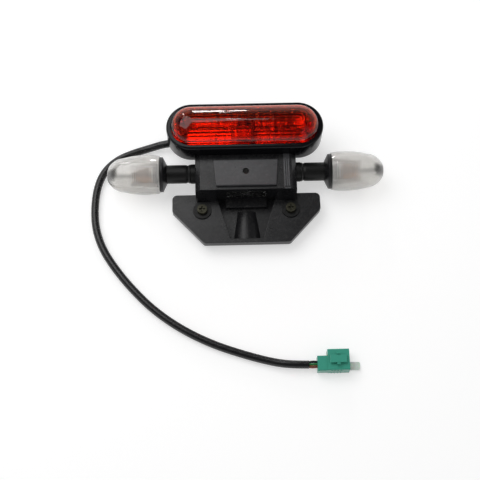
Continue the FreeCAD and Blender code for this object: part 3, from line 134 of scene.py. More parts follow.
class NodeDesk:
    """Adds and joins the nodes of one tree."""

    def __init__(self, tree: Tree) -> None:
        """Take a tree and leave its nodes as they are."""
        self.tree = tree

    def add(self, kind: str, **settings: object) -> Node:
        """Add a node.

        Args:
            kind: the node's type name, without ShaderNode where it starts with that.
            settings: attributes to set on the node.

        Returns:
            The new node.
        """
        node = self.tree.nodes.new(kind if kind.startswith("Node") else "ShaderNode" + kind)
        for key, value in settings.items():
            setattr(node, key, value)
        return node

    def feed(self, node: Node, inputs: dict[str | int, object]) -> Node:
        """Give inputs of a node a plain value or a link each.

        Args:
            node: the node that holds the inputs.
            inputs: by name or place, a plain value or an output to link from.

        Returns:
            The same node.
        """
        for name, value in inputs.items():
            if isinstance(value, Socket):
                self.tree.links.new(value, node.inputs[name])
            else:
                node.inputs[name].default_value = value
        return node

    def wired(self, kind: str, inputs: dict[str | int, object], **settings: object) -> Outputs:
        """Outputs of a new node with fed inputs."""
        return self.feed(self.add(kind, **settings), inputs).outputs

    def math(self, operation: str, *values: object) -> Socket:
        """Result of a math node over plain values and sockets."""
        return self.wired("Math", dict(enumerate(values)), operation=operation)[0]

    def times(self, first: Socket, second: object) -> Socket:
        """Product of two values."""
        return self.math("MULTIPLY", first, second)

    def ranged(self, value: Socket, span: Pair, out: Pair = RISING) -> Socket:
        """Map a value from one span to another, clamped."""
        return self.wired("MapRange", dict(enumerate((value, *span, *out))))[0]

    def split(self, vector: Socket) -> Outputs:
        """The X, Y and Z of a vector."""
        return self.wired("SeparateXYZ", {0: vector})

    def place(self) -> Socket:
        """Object coordinates of the surface."""
        return self.add("TexCoord").outputs["Object"]

    def noise(self, vector: Socket, scale: object, detail: float, distortion: float = 0.0) -> Socket:
        """Value of a noise texture."""
        inputs = {"Vector": vector, "Scale": scale, "Detail": detail, "Distortion": distortion}
        return self.wired("TexNoise", inputs)[0]

    def blend(self, share: Socket, first: object, second: object) -> Socket:
        """Colour between two colours.

        Args:
            share: how much of the second colour shows.
            first: colour at share 0.
            second: colour at share 1.

        Returns:
            The colour socket of the mix.
        """
        inputs = {MIX_SHARE: share}
        for place, given in ((MIX_FIRST, first), (MIX_SECOND, second)):
            inputs[place] = given if isinstance(given, Socket) else (*given, 1.0)
        return self.wired("Mix", inputs, data_type="RGBA")[MIX_RESULT]

    def group(self, tree: Tree, **inputs: object) -> Outputs:
        """Place a node group, feed its named inputs and give its outputs."""
        fed = {name.capitalize(): value for name, value in inputs.items()}
        return self.wired("Group", fed, node_tree=tree)


def new_group(name: str, vectors: Iterable[str], values: dict[str, float],
              results: Iterable[str]) -> tuple[NodeDesk, Outputs, Node]:
    """Start a node group.

    Args:
        name: the group's name.
        vectors: its vector inputs.
        values: its plain inputs, each with the value that it has when nothing feeds it.
        results: its outputs, all plain values.

    Returns:
        A desk on the group's tree, what comes in, and the node that takes the results.
    """
    tree = bpy.data.node_groups.new(name, "ShaderNodeTree")
    for vector in vectors:
        tree.interface.new_socket(vector, in_out="INPUT", socket_type="NodeSocketVector")
    for plain, value in values.items():
        made = tree.interface.new_socket(plain, in_out="INPUT", socket_type="NodeSocketFloat")
        made.default_value = value
    for result in results:
        tree.interface.new_socket(result, in_out="OUTPUT", socket_type="NodeSocketFloat")
    desk = NodeDesk(tree)
    return desk, desk.add("NodeGroupInput").outputs, desk.add("NodeGroupOutput")


@dataclass
class SharedEffects:
    """Node groups that more than one material uses, each built once.

    A ratio is a share of the group's own scale. A span is the part of a texture's range that shows.
    """

    cell_softness: float = 0.6
    cell_height: float = 0.7
    fine_ratio: float = 1.7
    fine_detail: float = 3.0
    fine_height: float = 0.5
    hollow_span: Pair = (0.15, 0.75)
    cloud_detail: float = 4.0
    cloud_swirl: float = 0.6
    cloud_span: Pair = (0.3, 0.7)
    streak_ratio: Spot = (1.0, 9.0, 3.0)
    streak_detail: float = 5.0
    streak_span: Pair = (0.35, 0.7)
    rub_scale: float = 240.0
    rub_detail: float = 3.0
    rub_edge: Pair = (0.51, 0.6)
    rub_span: Pair = (0.35, 0.6)
    rub_left: Pair = (0.2, 1.0)
    dust_scale: float = 420.0
    dust_detail: float = 6.0
    dust_facing: Pair = (0.2, 1.0)
    dust_span: Pair = (0.52, 0.8)

    def __post_init__(self) -> None:
        """Build every group."""
        self.grain = self.build_grain()
        self.mottle = self.build_mottle()
        self.rub = self.build_rub()
        self.dust = self.build_dust()

    def build_grain(self) -> Tree:
        """Fine moulded or sanded grain.

        Returns:
            A group that gives a height and a mask of the grain's hollows.
        """
        desk, given, out = new_group("moulded_grain", ["Vector"], {"Cells": 1800.0}, ["Height", "Hollows"])
        inputs = {"Vector": given["Vector"], "Scale": given["Cells"], "Smoothness": self.cell_softness}
        cells = desk.wired("TexVoronoi", inputs, feature="SMOOTH_F1")["Distance"]
        fine = desk.noise(given["Vector"], desk.times(given["Cells"], self.fine_ratio), self.fine_detail)
        height = desk.math("ADD", desk.times(cells, self.cell_height), desk.times(fine, self.fine_height))
        desk.feed(out, {"Height": height, "Hollows": desk.ranged(cells, self.hollow_span, FALLING)})
        return desk.tree

    def build_mottle(self) -> Tree:
        """Soft cloudy variation, as on any moulded or handled surface.

        Returns:
            A group that gives wide clouds and long streaks.
        """
        desk, given, out = new_group("cloudy_mottle", ["Vector"], {"Scale": 60.0}, ["Cloud", "Streak"])
        wide = desk.noise(given["Vector"], given["Scale"], self.cloud_detail, self.cloud_swirl)
        stretched = desk.wired("Mapping", {"Vector": given["Vector"], "Scale": self.streak_ratio})[0]
        streak = desk.noise(stretched, given["Scale"], self.streak_detail)
        desk.feed(out, {"Cloud": desk.ranged(wide, self.cloud_span),
                        "Streak": desk.ranged(streak, self.streak_span)})
        return desk.tree

    def build_rub(self) -> Tree:
        """Edges that handling has polished, from the mesh's own sharpness.

        Returns:
            A group that gives a mask of the rubbed edges.
        """
        desk, given, out = new_group("rubbed_edges", ["Vector"], {"Sharpness": 0.5}, ["Rub"])
        breakup = desk.noise(given["Vector"], self.rub_scale, self.rub_detail)
        kept = desk.ranged(breakup, self.rub_span, self.rub_left)
        desk.feed(out, {"Rub": desk.times(desk.ranged(given["Sharpness"], self.rub_edge), kept)})
        return desk.tree

    def build_dust(self) -> Tree:
        """Light dust that settles on what faces up.

        Returns:
            A group that gives a mask of the dust.
        """
        desk, given, out = new_group("settled_dust", ["Vector", "Facing"], {}, ["Dust"])
        specks = desk.ranged(desk.noise(given["Vector"], self.dust_scale, self.dust_detail), self.dust_span)
        up = desk.ranged(desk.split(given["Facing"])["Z"], self.dust_facing)
        desk.feed(out, {"Dust": desk.times(up, specks)})
        return desk.tree


EFFECTS = SharedEffects()


@dataclass(frozen=True)
class Finish:
    """Base of every finish: a name and the plain values of its shader."""

    name: str
    colour: Colour
    roughness: float = 0.4
    specular: float = 0.5

    def material(self) -> bpy.types.Material:
        """Build the finish's material once.

        Returns:
            The material, the same one each time.
        """
        found = bpy.data.materials.get(self.name)
        if found:
            return found
        made = bpy.data.materials.new(self.name)
        made.use_nodes = True
        made.diffuse_color = (*self.colour, 1.0)
        desk = NodeDesk(made.node_tree)
        shader = desk.feed(made.node_tree.nodes["Principled BSDF"], {
            "Base Color": (*self.colour, 1.0), "Roughness": self.roughness,
            "Specular IOR Level": self.specular})
        self.dress(desk, shader)
        return made

    def dress(self, desk: NodeDesk, shader: Node) -> None:
        """Add the finish's own detail to the shader."""
        raise NotImplementedError

    def tinted(self, gain: float, more: float) -> Colour:
        """The finish's colour, made stronger and then lifted."""
        return tuple(min(1.0, part * gain + more) for part in self.colour)

    def dulled(self, desk: NodeDesk, mask: Socket, less: float, more: float) -> Socket:
        """Roughness that goes from a little less than the finish's own to a little more by a mask."""
        return desk.ranged(mask, RISING, (self.roughness - less, self.roughness + more))

    @staticmethod
    def end_with(desk: NodeDesk, joint: str, sources: Sequence[Socket]) -> None:
        """Feed the material's surface from a new shader node.

        Args:
            desk: desk on the material's tree.
            joint: kind of the node that joins the sources.
            sources: what feeds it, in order.
        """
        output = next(node for node in desk.tree.nodes if node.type == "OUTPUT_MATERIAL")
        desk.feed(output, {"Surface": desk.wired(joint, dict(enumerate(sources)))[0]})


@dataclass(frozen=True)
class GrainedFinish(Finish):
    """Base of the finishes whose surface has a fine grain and soft clouds.

    Cells and clouds are the scales of their textures, and depth is the height of the grain.
    """

    cells: float = 1800.0
    depth: float = 0.00002
    clouds: float = 55.0

    def surface(self, desk: NodeDesk, shader: Node) -> tuple[Socket, Outputs, Outputs]:
        """Raise the surface's normal by the grain.

        Args:
            desk: desk on the material's tree.
            shader: the shader whose normal is fed.

        Returns:
            Object coordinates, then what the grain and the mottle give.
        """
        place = desk.place()
        grain = desk.group(EFFECTS.grain, vector=place, cells=self.cells)
        mottle = desk.group(EFFECTS.mottle, vector=place, scale=self.clouds)
        bump = desk.wired("Bump", {"Height": grain["Height"], "Distance": self.depth})
        desk.feed(shader, {"Normal": bump[0]})
        return place, grain, mottle

    def shaded(self, desk: NodeDesk, place: Socket, colour: Socket) -> Socket:
        """The colour with painted light or shade in one place; a plain finish leaves it as it is."""
        return colour


@dataclass(frozen=True)
class MouldedPlastic(GrainedFinish):
    """Satin moulded plastic with a fine grain, cloudy gloss, rubbed edges and a little dust."""

    spread: float = 0.08
    lift: float = 1.5
    cloud_share: float = 0.45
    cloud_haze: float = 0.004
    rub_share: float = 0.5
    rub_lift: float = 1.6
    rub_haze: float = 0.01
    rub_polish: float = 0.12
    hollow_dull: float = 0.08
    dust: float = 0.06
    dust_colour: Colour = (0.42, 0.40, 0.37)

    def dress(self, desk: NodeDesk, shader: Node) -> None:
        """Feed colour, roughness and normal from grain, mottle, rub and dust.

        Args:
            desk: desk on the material's tree.
            shader: the material's shader.
        """
        place, grain, mottle = self.surface(desk, shader)
        geometry = desk.add("NewGeometry").outputs
        rub = desk.group(EFFECTS.rub, vector=place, sharpness=geometry["Pointiness"])["Rub"]
        dust = desk.group(EFFECTS.dust, vector=place, facing=geometry["Normal"])["Dust"]
        colour = desk.blend(desk.times(mottle["Cloud"], self.cloud_share), self.colour,
                            self.tinted(self.lift, self.cloud_haze))
        colour = desk.blend(desk.times(rub, self.rub_share), colour,
                            self.tinted(self.lift * self.rub_lift, self.rub_haze))
        colour = desk.blend(desk.times(dust, self.dust), colour, self.dust_colour)
        rough = self.dulled(desk, mottle["Cloud"], self.spread / 2, self.spread / 2)
        rough = desk.math("ADD", rough, desk.times(grain["Hollows"], self.hollow_dull))
        rough = desk.math("SUBTRACT", rough, desk.times(rub, self.rub_polish))
        desk.feed(shader, {"Base Color": self.shaded(desk, place, colour), "Roughness": rough})


@dataclass(frozen=True)
class StripHighlightPlastic(MouldedPlastic):
    """Moulded plastic with a painted highlight on the raised strip beside the front panel."""

    strip_start: float = 0.0384
    strip_end: float = 0.0447
    strip_low: float = 0.0355
    # painted highlight: the strip's paler colour stands in for the light that the strip catches
    strip_highlight: Colour = (0.062, 0.062, 0.066)

    def shaded(self, desk: NodeDesk, place: Socket, colour: Socket) -> Socket:
        """Blend to the painted highlight colour on the strip.

        Args:
            desk: desk on the material's tree.
            place: object coordinates.
            colour: the colour so far.

        Returns:
            The colour with the painted highlight on the strip.
        """
        x, _, z = desk.split(place)
        inside = desk.times(desk.math("GREATER_THAN", x, self.strip_start),
                            desk.math("LESS_THAN", x, self.strip_end))
        on_top = desk.math("GREATER_THAN", z, self.strip_low)
        return desk.blend(desk.times(inside, on_top), colour, self.strip_highlight)


@dataclass(frozen=True)
class PolishedPlastic(GrainedFinish):
    """Glossy moulded plastic: faint orange peel, hairline marks and soft smears."""

    cells: float = 420.0
    depth: float = 0.00003
    clouds: float = 38.0
    smear_lift: float = 1.5
    smear_haze: float = 0.002
    hairs: float = 0.07

    def dress(self, desk: NodeDesk, shader: Node) -> None:
        """Feed colour, roughness and normal from smears and peel.

        Args:
            desk: desk on the material's tree.
            shader: the material's shader.
        """
        _, _, mottle = self.surface(desk, shader)
        smeared = desk.blend(mottle["Cloud"], self.colour, self.tinted(self.smear_lift, self.smear_haze))
        rough = desk.math("ADD", desk.times(mottle["Streak"], self.hairs), self.roughness)
        desk.feed(shader, {"Base Color": smeared, "Roughness": rough})


@dataclass(frozen=True)
class SoftRubber(GrainedFinish):
    """Matt black rubber with a faint pale bloom and a skin of tiny pits."""

    cells: float = 2600.0
    depth: float = 0.00004
    clouds: float = 90.0
    bloom: float = 0.35
    bloom_lift: float = 2.2
    bloom_haze: float = 0.006
    spread: float = 0.08

    def dress(self, desk: NodeDesk, shader: Node) -> None:
        """Feed colour, roughness and normal from bloom and pits.

        Args:
            desk: desk on the material's tree.
            shader: the material's shader.
        """
        _, _, mottle = self.surface(desk, shader)
        desk.feed(shader, {
            "Base Color": desk.blend(desk.times(mottle["Cloud"], self.bloom), self.colour,
                                     self.tinted(self.bloom_lift, self.bloom_haze)),
            "Roughness": self.dulled(desk, mottle["Streak"], self.spread, self.spread)})


@dataclass(frozen=True)
class PlatedMetal(GrainedFinish):
    """Plated or coated metal with drawn streaks and cloudy gloss."""

    cells: float = 3200.0
    clouds: float = 160.0
    tint: Colour = (0.55, 0.52, 0.45)
    tint_share: float = 0.6
    metallic: float = 1.0
    brighter: float = 0.05
    duller: float = 0.1

    def dress(self, desk: NodeDesk, shader: Node) -> None:
        """Feed colour, roughness and normal from streaks and clouds.

        Args:
            desk: desk on the material's tree.
            shader: the material's shader.
        """
        _, _, mottle = self.surface(desk, shader)
        desk.feed(shader, {
            "Metallic": self.metallic,
            "Base Color": desk.blend(desk.times(mottle["Streak"], self.tint_share), self.colour, self.tint),
            "Roughness": self.dulled(desk, mottle["Cloud"], self.brighter, self.duller)})


@dataclass(frozen=True)
class ClearShell(GrainedFinish):
    """Transparent plastic or glass that lets the lamps light what is inside it."""

    cells: float = 240.0
    depth: float = 0.000003
    clouds: float = 70.0
    index: float = 1.49
    milk: float = 0.0
    haze: float = 0.05
    gloss: float = 0.0
    gloss_roughness: float = 0.06
    deeper: float = 0.9
    deeper_share: float = 0.6

    def dress(self, desk: NodeDesk, shader: Node) -> None:
        """Make the shader clear, with a hazy roughness, a slight wave and open shadows.

        Args:
            desk: desk on the material's tree.
            shader: the material's shader.
        """
        place, _, mottle = self.surface(desk, shader)
        clouded = desk.blend(desk.times(mottle["Cloud"], self.deeper_share), self.colour,
                             self.tinted(self.deeper, 0.0))
        desk.feed(shader, {
            "Transmission Weight": 1.0 - self.milk, "IOR": self.index,
            "Coat Weight": self.gloss, "Coat Roughness": self.gloss_roughness,
            "Base Color": self.shaded(desk, place, clouded),
            "Roughness": self.dulled(desk, mottle["Cloud"], 0.0, self.haze)})
        shadow = desk.add("LightPath").outputs["Is Shadow Ray"]
        open_way = desk.wired("BsdfTransparent", {"Color": (*self.colour, 1.0)})
        self.end_with(desk, "MixShader", (shadow, shader.outputs[0], open_way[0]))


@dataclass(frozen=True)
class ScrewedShell(ClearShell):
    """Clear shell of an indicator, with painted shade at its screw boss and, softly, on the front of the
    shell over it.
    """

    boss_start: float = 0.1335
    boss_r: float = 0.0064
    axis_y: float = 0.0045
    axis_z: float = 0.022
    # painted shade: this colour darkens the boss and, through the veil, the front of the shell over it
    tint: Colour = (0.03, 0.026, 0.022)
    veil: float = 0.75
    veil_along: Pair = (0.1290, 0.1330)
    veil_across: Pair = (0.0025, 0.0065)
    veil_drop: float = 0.0035

    def shaded(self, desk: NodeDesk, place: Socket, colour: Socket) -> Socket:
        """Paint shade on the boss, and a softer painted shade on the front of the shell over it.

        Args:
            desk: desk on the material's tree.
            place: object coordinates.
            colour: the colour so far.

        Returns:
            The colour with both painted shades in it.
        """
        x, y, z = desk.split(place)
        out = desk.math("ABSOLUTE", x)
        off_y = desk.math("SUBTRACT", y, self.axis_y)
        off_z = desk.math("SUBTRACT", z, self.axis_z)
        off = desk.math("SQRT", desk.math("ADD", desk.times(off_y, off_y), desk.times(off_z, off_z)))
        boss = desk.times(desk.math("GREATER_THAN", out, self.boss_start),
                          desk.math("LESS_THAN", off, self.boss_r))
        lower = desk.math("ABSOLUTE", desk.math("ADD", off_y, self.veil_drop))
        middle = desk.ranged(lower, self.veil_across, (self.veil, 0.0))
        front = desk.times(middle, desk.math("GREATER_THAN", off_z, 0.0))
        veiled = desk.times(desk.ranged(out, self.veil_along), front)
        return desk.blend(desk.math("MAXIMUM", boss, veiled), colour, self.tint)


@dataclass(frozen=True)
class MouldedNylon(GrainedFinish):
    """Semi-gloss coloured nylon with flow clouds, a soft glow at thin walls and fine tool marks."""

    cells: float = 2200.0
    clouds: float = 120.0
    cloud_share: float = 0.5
    cloud_lift: float = 1.25
    cloud_haze: float = 0.02
    rub_share: float = 0.5
    rub_lift: float = 1.5
    rub_haze: float = 0.08
    brighter: float = 0.06
    duller: float = 0.08
    glow: float = 0.12
    glow_radius: Colour = (0.4, 1.0, 0.7)
    glow_scale: float = 0.0015

    def dress(self, desk: NodeDesk, shader: Node) -> None:
        """Feed colour, roughness and normal from flow clouds and tool marks.

        Args:
            desk: desk on the material's tree.
            shader: the material's shader.
        """
        place, _, mottle = self.surface(desk, shader)
        sharpness = desk.add("NewGeometry").outputs["Pointiness"]
        rub = desk.group(EFFECTS.rub, vector=place, sharpness=sharpness)["Rub"]
        colour = desk.blend(desk.times(mottle["Cloud"], self.cloud_share), self.colour,
                            self.tinted(self.cloud_lift, self.cloud_haze))
        colour = desk.blend(desk.times(rub, self.rub_share), colour,
                            self.tinted(self.rub_lift, self.rub_haze))
        desk.feed(shader, {
            "Base Color": colour, "Subsurface Weight": self.glow, "Subsurface Radius": self.glow_radius,
            "Subsurface Scale": self.glow_scale,
            "Roughness": self.dulled(desk, mottle["Streak"], self.brighter, self.duller)})


@dataclass(frozen=True)
class TableTop(Finish):
    """Pale floor that keeps its shadow near the set and reads as white further out."""

    lift: float = 0.49
    near: float = 0.5
    far: float = 3.0

    def dress(self, desk: NodeDesk, shader: Node) -> None:
        """Add a little light for rays from the camera, glossy surfaces and glass.

        Args:
            desk: desk on the material's tree.
            shader: the material's shader.
        """
        path = desk.add("LightPath").outputs
        seen = desk.math("MAXIMUM", path["Is Camera Ray"], path["Is Glossy Ray"])
        seen = desk.math("MAXIMUM", seen, path["Is Transmission Ray"])
        out = desk.wired("VectorMath", {0: desk.place()}, operation="LENGTH")["Value"]
        lift = desk.ranged(out, (self.near, self.far), (self.lift, 1.0))
        glow = desk.wired("Emission", {"Strength": desk.times(seen, lift)})
        self.end_with(desk, "AddShader", (shader.outputs[0], glow[0]))


# the bracket's raised strip carries a painted highlight
BRACKET_BLACK = StripHighlightPlastic("bracket_black_plastic", (0.008, 0.008, 0.009), roughness=0.26,
                               specular=0.34)
PANEL_GREY = MouldedPlastic("panel_grey_plastic", (0.036, 0.036, 0.039), roughness=0.30, cells=2200.0)
HOUSING_BLACK = PolishedPlastic("housing_gloss_black", (0.003, 0.003, 0.004), roughness=0.14, specular=0.22)
BASE_BLACK = MouldedPlastic("indicator_base_black", (0.006, 0.006, 0.007), roughness=0.32, specular=0.35)
HOLDER_BLACK = MouldedPlastic("bulb_holder_black", (0.02, 0.02, 0.02), roughness=0.5)
RUBBER = SoftRubber("black_rubber", (0.004, 0.004, 0.004), roughness=0.45, specular=0.3)
CABLE_BLACK = SoftRubber("cable_sleeve_black", (0.007, 0.007, 0.008), roughness=0.30, bloom=0.2)
RED_CLEAR = ClearShell("red_lens_plastic", (0.91, 0.098, 0.022), roughness=0.02, index=1.42, haze=0.03)
# the indicator shells' tips carry painted shade
CLEAR = ScrewedShell("clear_lens_plastic", (0.90, 0.89, 0.87), roughness=0.15, index=1.4, milk=0.24,
                     gloss=0.6)
WINDOW = ClearShell("plate_window_plastic", (0.62, 0.63, 0.62), roughness=0.2, haze=0.1)
BULB_CLEAR = ClearShell("clear_bulb_glass", (0.97, 0.97, 0.96), roughness=0.0, index=1.3, haze=0.02)
BULB_AMBER = ClearShell("amber_bulb_glass", (0.93, 0.74, 0.55), roughness=0.02, index=1.3, haze=0.04)
SILVERED = PlatedMetal("silvered_reflector", (0.86, 0.86, 0.87), roughness=0.12, tint=(0.80, 0.80, 0.82))
TRAY_SILVER = PlatedMetal("silvered_tray", (0.80, 0.80, 0.80), roughness=0.28, tint=(0.72, 0.72, 0.72))
ZINC = PlatedMetal("zinc_plated_steel", (0.58, 0.57, 0.55), roughness=0.32, tint=(0.50, 0.46, 0.36))
DARK_STEEL = PlatedMetal("black_zinc_screw", (0.006, 0.006, 0.005), roughness=0.5, specular=0.3,
                         tint=(0.010, 0.009, 0.007), metallic=0.2)
OLIVE_STEEL = PlatedMetal("olive_zinc_screw", (0.030, 0.029, 0.018), roughness=0.40,
                          tint=(0.05, 0.047, 0.03), metallic=0.7)
BROWN_STEEL = PlatedMetal("brown_screw", (0.020, 0.013, 0.009), roughness=0.45, specular=0.4,
                          tint=(0.045, 0.028, 0.016), metallic=0.3)
COATED = MouldedPlastic("coated_steel_plate", (0.014, 0.014, 0.015), roughness=0.42, cells=900.0)
BRASS = PlatedMetal("bright_brass", (0.74, 0.55, 0.26), roughness=0.26, tint=(0.60, 0.42, 0.18))
GREEN_NYLON = MouldedNylon("green_nylon", (0.060, 0.32, 0.24), roughness=0.42, specular=0.22)
PALE_NYLON = MouldedNylon("natural_nylon", (0.62, 0.70, 0.64), roughness=0.32, glow=0.4)
TABLE_TOP = TableTop("pale_table_top", (0.66, 0.66, 0.66), roughness=0.8, specular=0.2)


def metres(x: float, y: float, z: float) -> Vector:
    """A point in metres from millimetres."""
    return Vector((x, y, z)) * MM


def across(axis: Vector) -> Vector:
    """A plain direction square to the given one."""
    return Y_AXIS if axis.x else X_AXIS


def arc(start: Pair, via: Pair, end: Pair, steps: int) -> Line:
    """Points along the arc through three points.

    Args:
        start: first point, which the result leaves out.
        via: a point that the arc passes.
        end: last point, which the result holds.
        steps: how many points to give.

    Returns:
        The points after the start.
    """
    (ax, ay), (bx, by), (cx, cy) = start, via, end
    twice = 2 * (ax * (by - cy) + bx * (cy - ay) + cx * (ay - by))
    a, b, c = ax * ax + ay * ay, bx * bx + by * by, cx * cx + cy * cy
    mid_x = (a * (by - cy) + b * (cy - ay) + c * (ay - by)) / twice
    mid_y = (a * (cx - bx) + b * (ax - cx) + c * (bx - ax)) / twice
    radius = math.hypot(ax - mid_x, ay - mid_y)
    first = math.atan2(ay - mid_y, ax - mid_x)
    passing = (math.atan2(by - mid_y, bx - mid_x) - first) % TURN
    sweep = (math.atan2(cy - mid_y, cx - mid_x) - first) % TURN
    if passing > sweep:
        sweep -= TURN
    angles = [first + sweep * (i + 1) / steps for i in range(steps)]
    return [(mid_x + radius * math.cos(angle), mid_y + radius * math.sin(angle)) for angle in angles]


def rounding(start: Pair, centre: Pair, end: Pair, steps: int) -> Line:
    """Points along a quarter of a circle.

    Args:
        start: first point, which the result leaves out.
        centre: the circle's centre.
        end: last point, which the result holds.
        steps: how many points to give.

    Returns:
        The points after the start.
    """
    result = []
    for i in range(steps):
        angle = QUARTER * (i + 1) / steps
        result.append(tuple(c + (a - c) * math.cos(angle) + (b - c) * math.sin(angle)
                            for a, c, b in zip(start, centre, end)))
    return result


def dome(edge_r: float, edge_z: float, top_z: float, rho: float, steps: int) -> Line:
    """Edge arc and crown arc from an upright edge to a level top.

    Args:
        edge_r: radius at the edge.
        edge_z: height where the dome starts.
        top_z: height of its middle.
        rho: radius of the edge arc.
        steps: points on each arc.

    Returns:
        (radius, height) points from the edge to the middle.
    """
    centre_r = edge_r - rho
    rise = top_z - edge_z
    crown = (centre_r ** 2 + rise ** 2 - rho ** 2) / (2 * (rise - rho))
    join = math.atan2(edge_z - top_z + crown, centre_r)
    line = [(edge_r, edge_z)]
    for radius, mid_r, mid_z, low, high in ((rho, centre_r, edge_z, 0.0, join),
                                            (crown, 0.0, top_z - crown, join, QUARTER)):
        for i in range(1, steps + 1):
            angle = low + (high - low) * i / steps
            line.append((mid_r + radius * math.cos(angle), mid_z + radius * math.sin(angle)))
    line[-1] = (0.0, top_z)
    return line


def rippled(line: Line, pitch: float, depth: float) -> Line:
    """Resample a line and push it in and out in even waves.

    Args:
        line: the smooth line.
        pitch: length of one wave along the line.
        depth: how far each wave stands from the line.

    Returns:
        The waved line, with its ends where they were.
    """
    lengths = [math.dist(a, b) for a, b in zip(line, line[1:])]
    waves = max(1, round(sum(lengths) / pitch))
    count = waves * WAVE_POINTS
    result = []
    for i in range(count + 1):
        left = sum(lengths) * i / count
        place = 0
        while place < len(lengths) - 1 and left > lengths[place]:
            left -= lengths[place]
            place += 1
        (ax, ay), (bx, by) = line[place], line[place + 1]
        share = min(1.0, left / lengths[place])
        lift = depth * (math.cos(TURN * i * waves / count) - 1) / 2 / lengths[place]
        result.append((ax + (bx - ax) * share + (by - ay) * lift,
                       ay + (by - ay) * share + (ax - bx) * lift))
    return result


def placed(name: str, data: bpy.types.ID) -> Piece:
    """Put a new object in the scene.

    Args:
        name: the object's name.
        data: what it shows.

    Returns:
        The new object.
    """
    made = bpy.data.objects.new(name, data)
    bpy.context.scene.collection.objects.link(made)
    return made


def draw_line(name: str, points: Sequence[Vector]) -> Piece:
    """Draw a chain of edges and leave it selected in edit mode.

    Args:
        name: name of the new piece.
        points: the chain's points, in metres.

    Returns:
        The new piece.
    """
    bpy.ops.object.select_all(action="DESELECT")
    bpy.ops.mesh.primitive_plane_add(size=MM)
    piece = bpy.context.object
    piece.name = piece.data.name = name
    bpy.ops.object.mode_set(mode="EDIT")
    bpy.ops.mesh.merge(type="CENTER")
    bpy.ops.transform.translate(value=points[0])
    for before, point in zip(points, points[1:]):
        bpy.ops.mesh.extrude_vertices_move(TRANSFORM_OT_translate={"value": point - before})
    bpy.ops.mesh.select_all(action="SELECT")
    return piece


def close_up(doubles: float = DOUBLES) -> None:
    """Merge doubles, point the faces outwards and leave edit mode.

    Args:
        doubles: distance within which points are one, in metres.
    """
    bpy.ops.mesh.select_all(action="SELECT")
    bpy.ops.mesh.remove_doubles(threshold=doubles)
    bpy.ops.mesh.normals_make_consistent(inside=False)
    bpy.ops.object.mode_set(mode="OBJECT")


def pick(piece: Piece) -> None:
    """Select one piece alone and make it active.

    Args:
        piece: the piece to select.
    """
    bpy.ops.object.select_all(action="DESELECT")
    piece.select_set(True)
    bpy.context.view_layer.objects.active = piece


def smooth(piece: Piece, degrees: float = 32.0) -> Piece:
    """Shade a piece smooth, with sharp edges past an angle.

    Args:
        piece: the piece to shade.
        degrees: the angle past which an edge stays sharp.

    Returns:
        The same piece.
    """
    pick(piece)
    bpy.ops.object.shade_smooth_by_angle(angle=math.radians(degrees))
    return piece


def choose(piece: Piece, test: Callable[[Vector], bool]) -> None:
    """Go into edit mode with only the points that pass a test selected.

    Args:
        piece: the piece to edit.
        test: says yes or no to a point in millimetres.
    """
    pick(piece)
    bpy.ops.object.mode_set(mode="EDIT")
    bpy.ops.mesh.select_all(action="DESELECT")
    bpy.ops.object.mode_set(mode="OBJECT")
    for vertex in piece.data.vertices:
        vertex.select = test(vertex.co / MM)
    bpy.ops.object.mode_set(mode="EDIT")


def turned(name: str, profile: Iterable[Pair], origin: Vector, axis: Vector, steps: int = 48) -> Piece:
    """Spin a profile once round an axis.

    Args:
        name: name of the new piece.
        profile: (distance along the axis, radius) points, in millimetres.
        origin: a point on the axis, in millimetres.
        axis: the axis's direction.
        steps: how many faces go round.

    Returns:
        The closed piece, shaded smooth.
    """
    out = across(axis)
    piece = draw_line(name, [(origin + axis * along + out * radius) * MM for along, radius in profile])
    bpy.ops.mesh.spin(steps=steps, angle=TURN, center=origin * MM, axis=axis)
    close_up()
    return smooth(piece)


def oblong(name: str, profile: Line, half: float, centre_y: float, end_steps: int,
           side_steps: int) -> Piece:
    """Sweep a profile round an oblong with half-round ends.

    Args:
        name: name of the new piece.
        profile: (distance from the oblong's middle line, height) points, in millimetres.
        half: half the length of the middle line.
        centre_y: where the middle line lies.
        end_steps: faces round each end.
        side_steps: faces along each side.

    Returns:
        The closed piece.
    """
    piece = draw_line(name, [metres(half, centre_y - out, height) for out, height in profile])
    step = 2 * half / side_steps
    for side in (1, -1):
        middle = metres(side * half, centre_y, 0)
        bpy.ops.mesh.spin(steps=end_steps, angle=-TURN / 2, center=middle, axis=Z_AXIS)
        for _ in range(side_steps):
            bpy.ops.mesh.extrude_region_move(TRANSFORM_OT_translate={"value": metres(-side * step, 0, 0)})
    close_up(OBLONG_DOUBLES)
    return piece


def apply(piece: Piece, kind: str, **settings: object) -> None:
    """Add one modifier to a piece and apply it.

    Args:
        piece: the piece to change.
        kind: the modifier's type.
        settings: attributes to set on the modifier.
    """
    pick(piece)
    made = piece.modifiers.new(kind.lower(), kind)
    for key, value in settings.items():
        setattr(made, key, value)
    bpy.ops.object.modifier_apply(modifier=made.name)


def dressed(piece: Piece, finish: Finish, slot: str, *nodes: str, body: str = "root") -> Piece:
    """Finish a piece and hang it on its body.

    Args:
        piece: the finished mesh or curve.
        finish: its finish.
        slot: the material slot it stands for; not used.
        nodes: construction nodes that it replaces.
        body: the body it moves with.

    Returns:
        The same piece.
    """
    piece.data.materials.clear()
    piece.data.materials.append(finish.material())
    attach(piece, body)
    if nodes:
        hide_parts(*nodes)
    LOG.info("%s: %s on %s", piece.name, finish.name, body)
    return piece


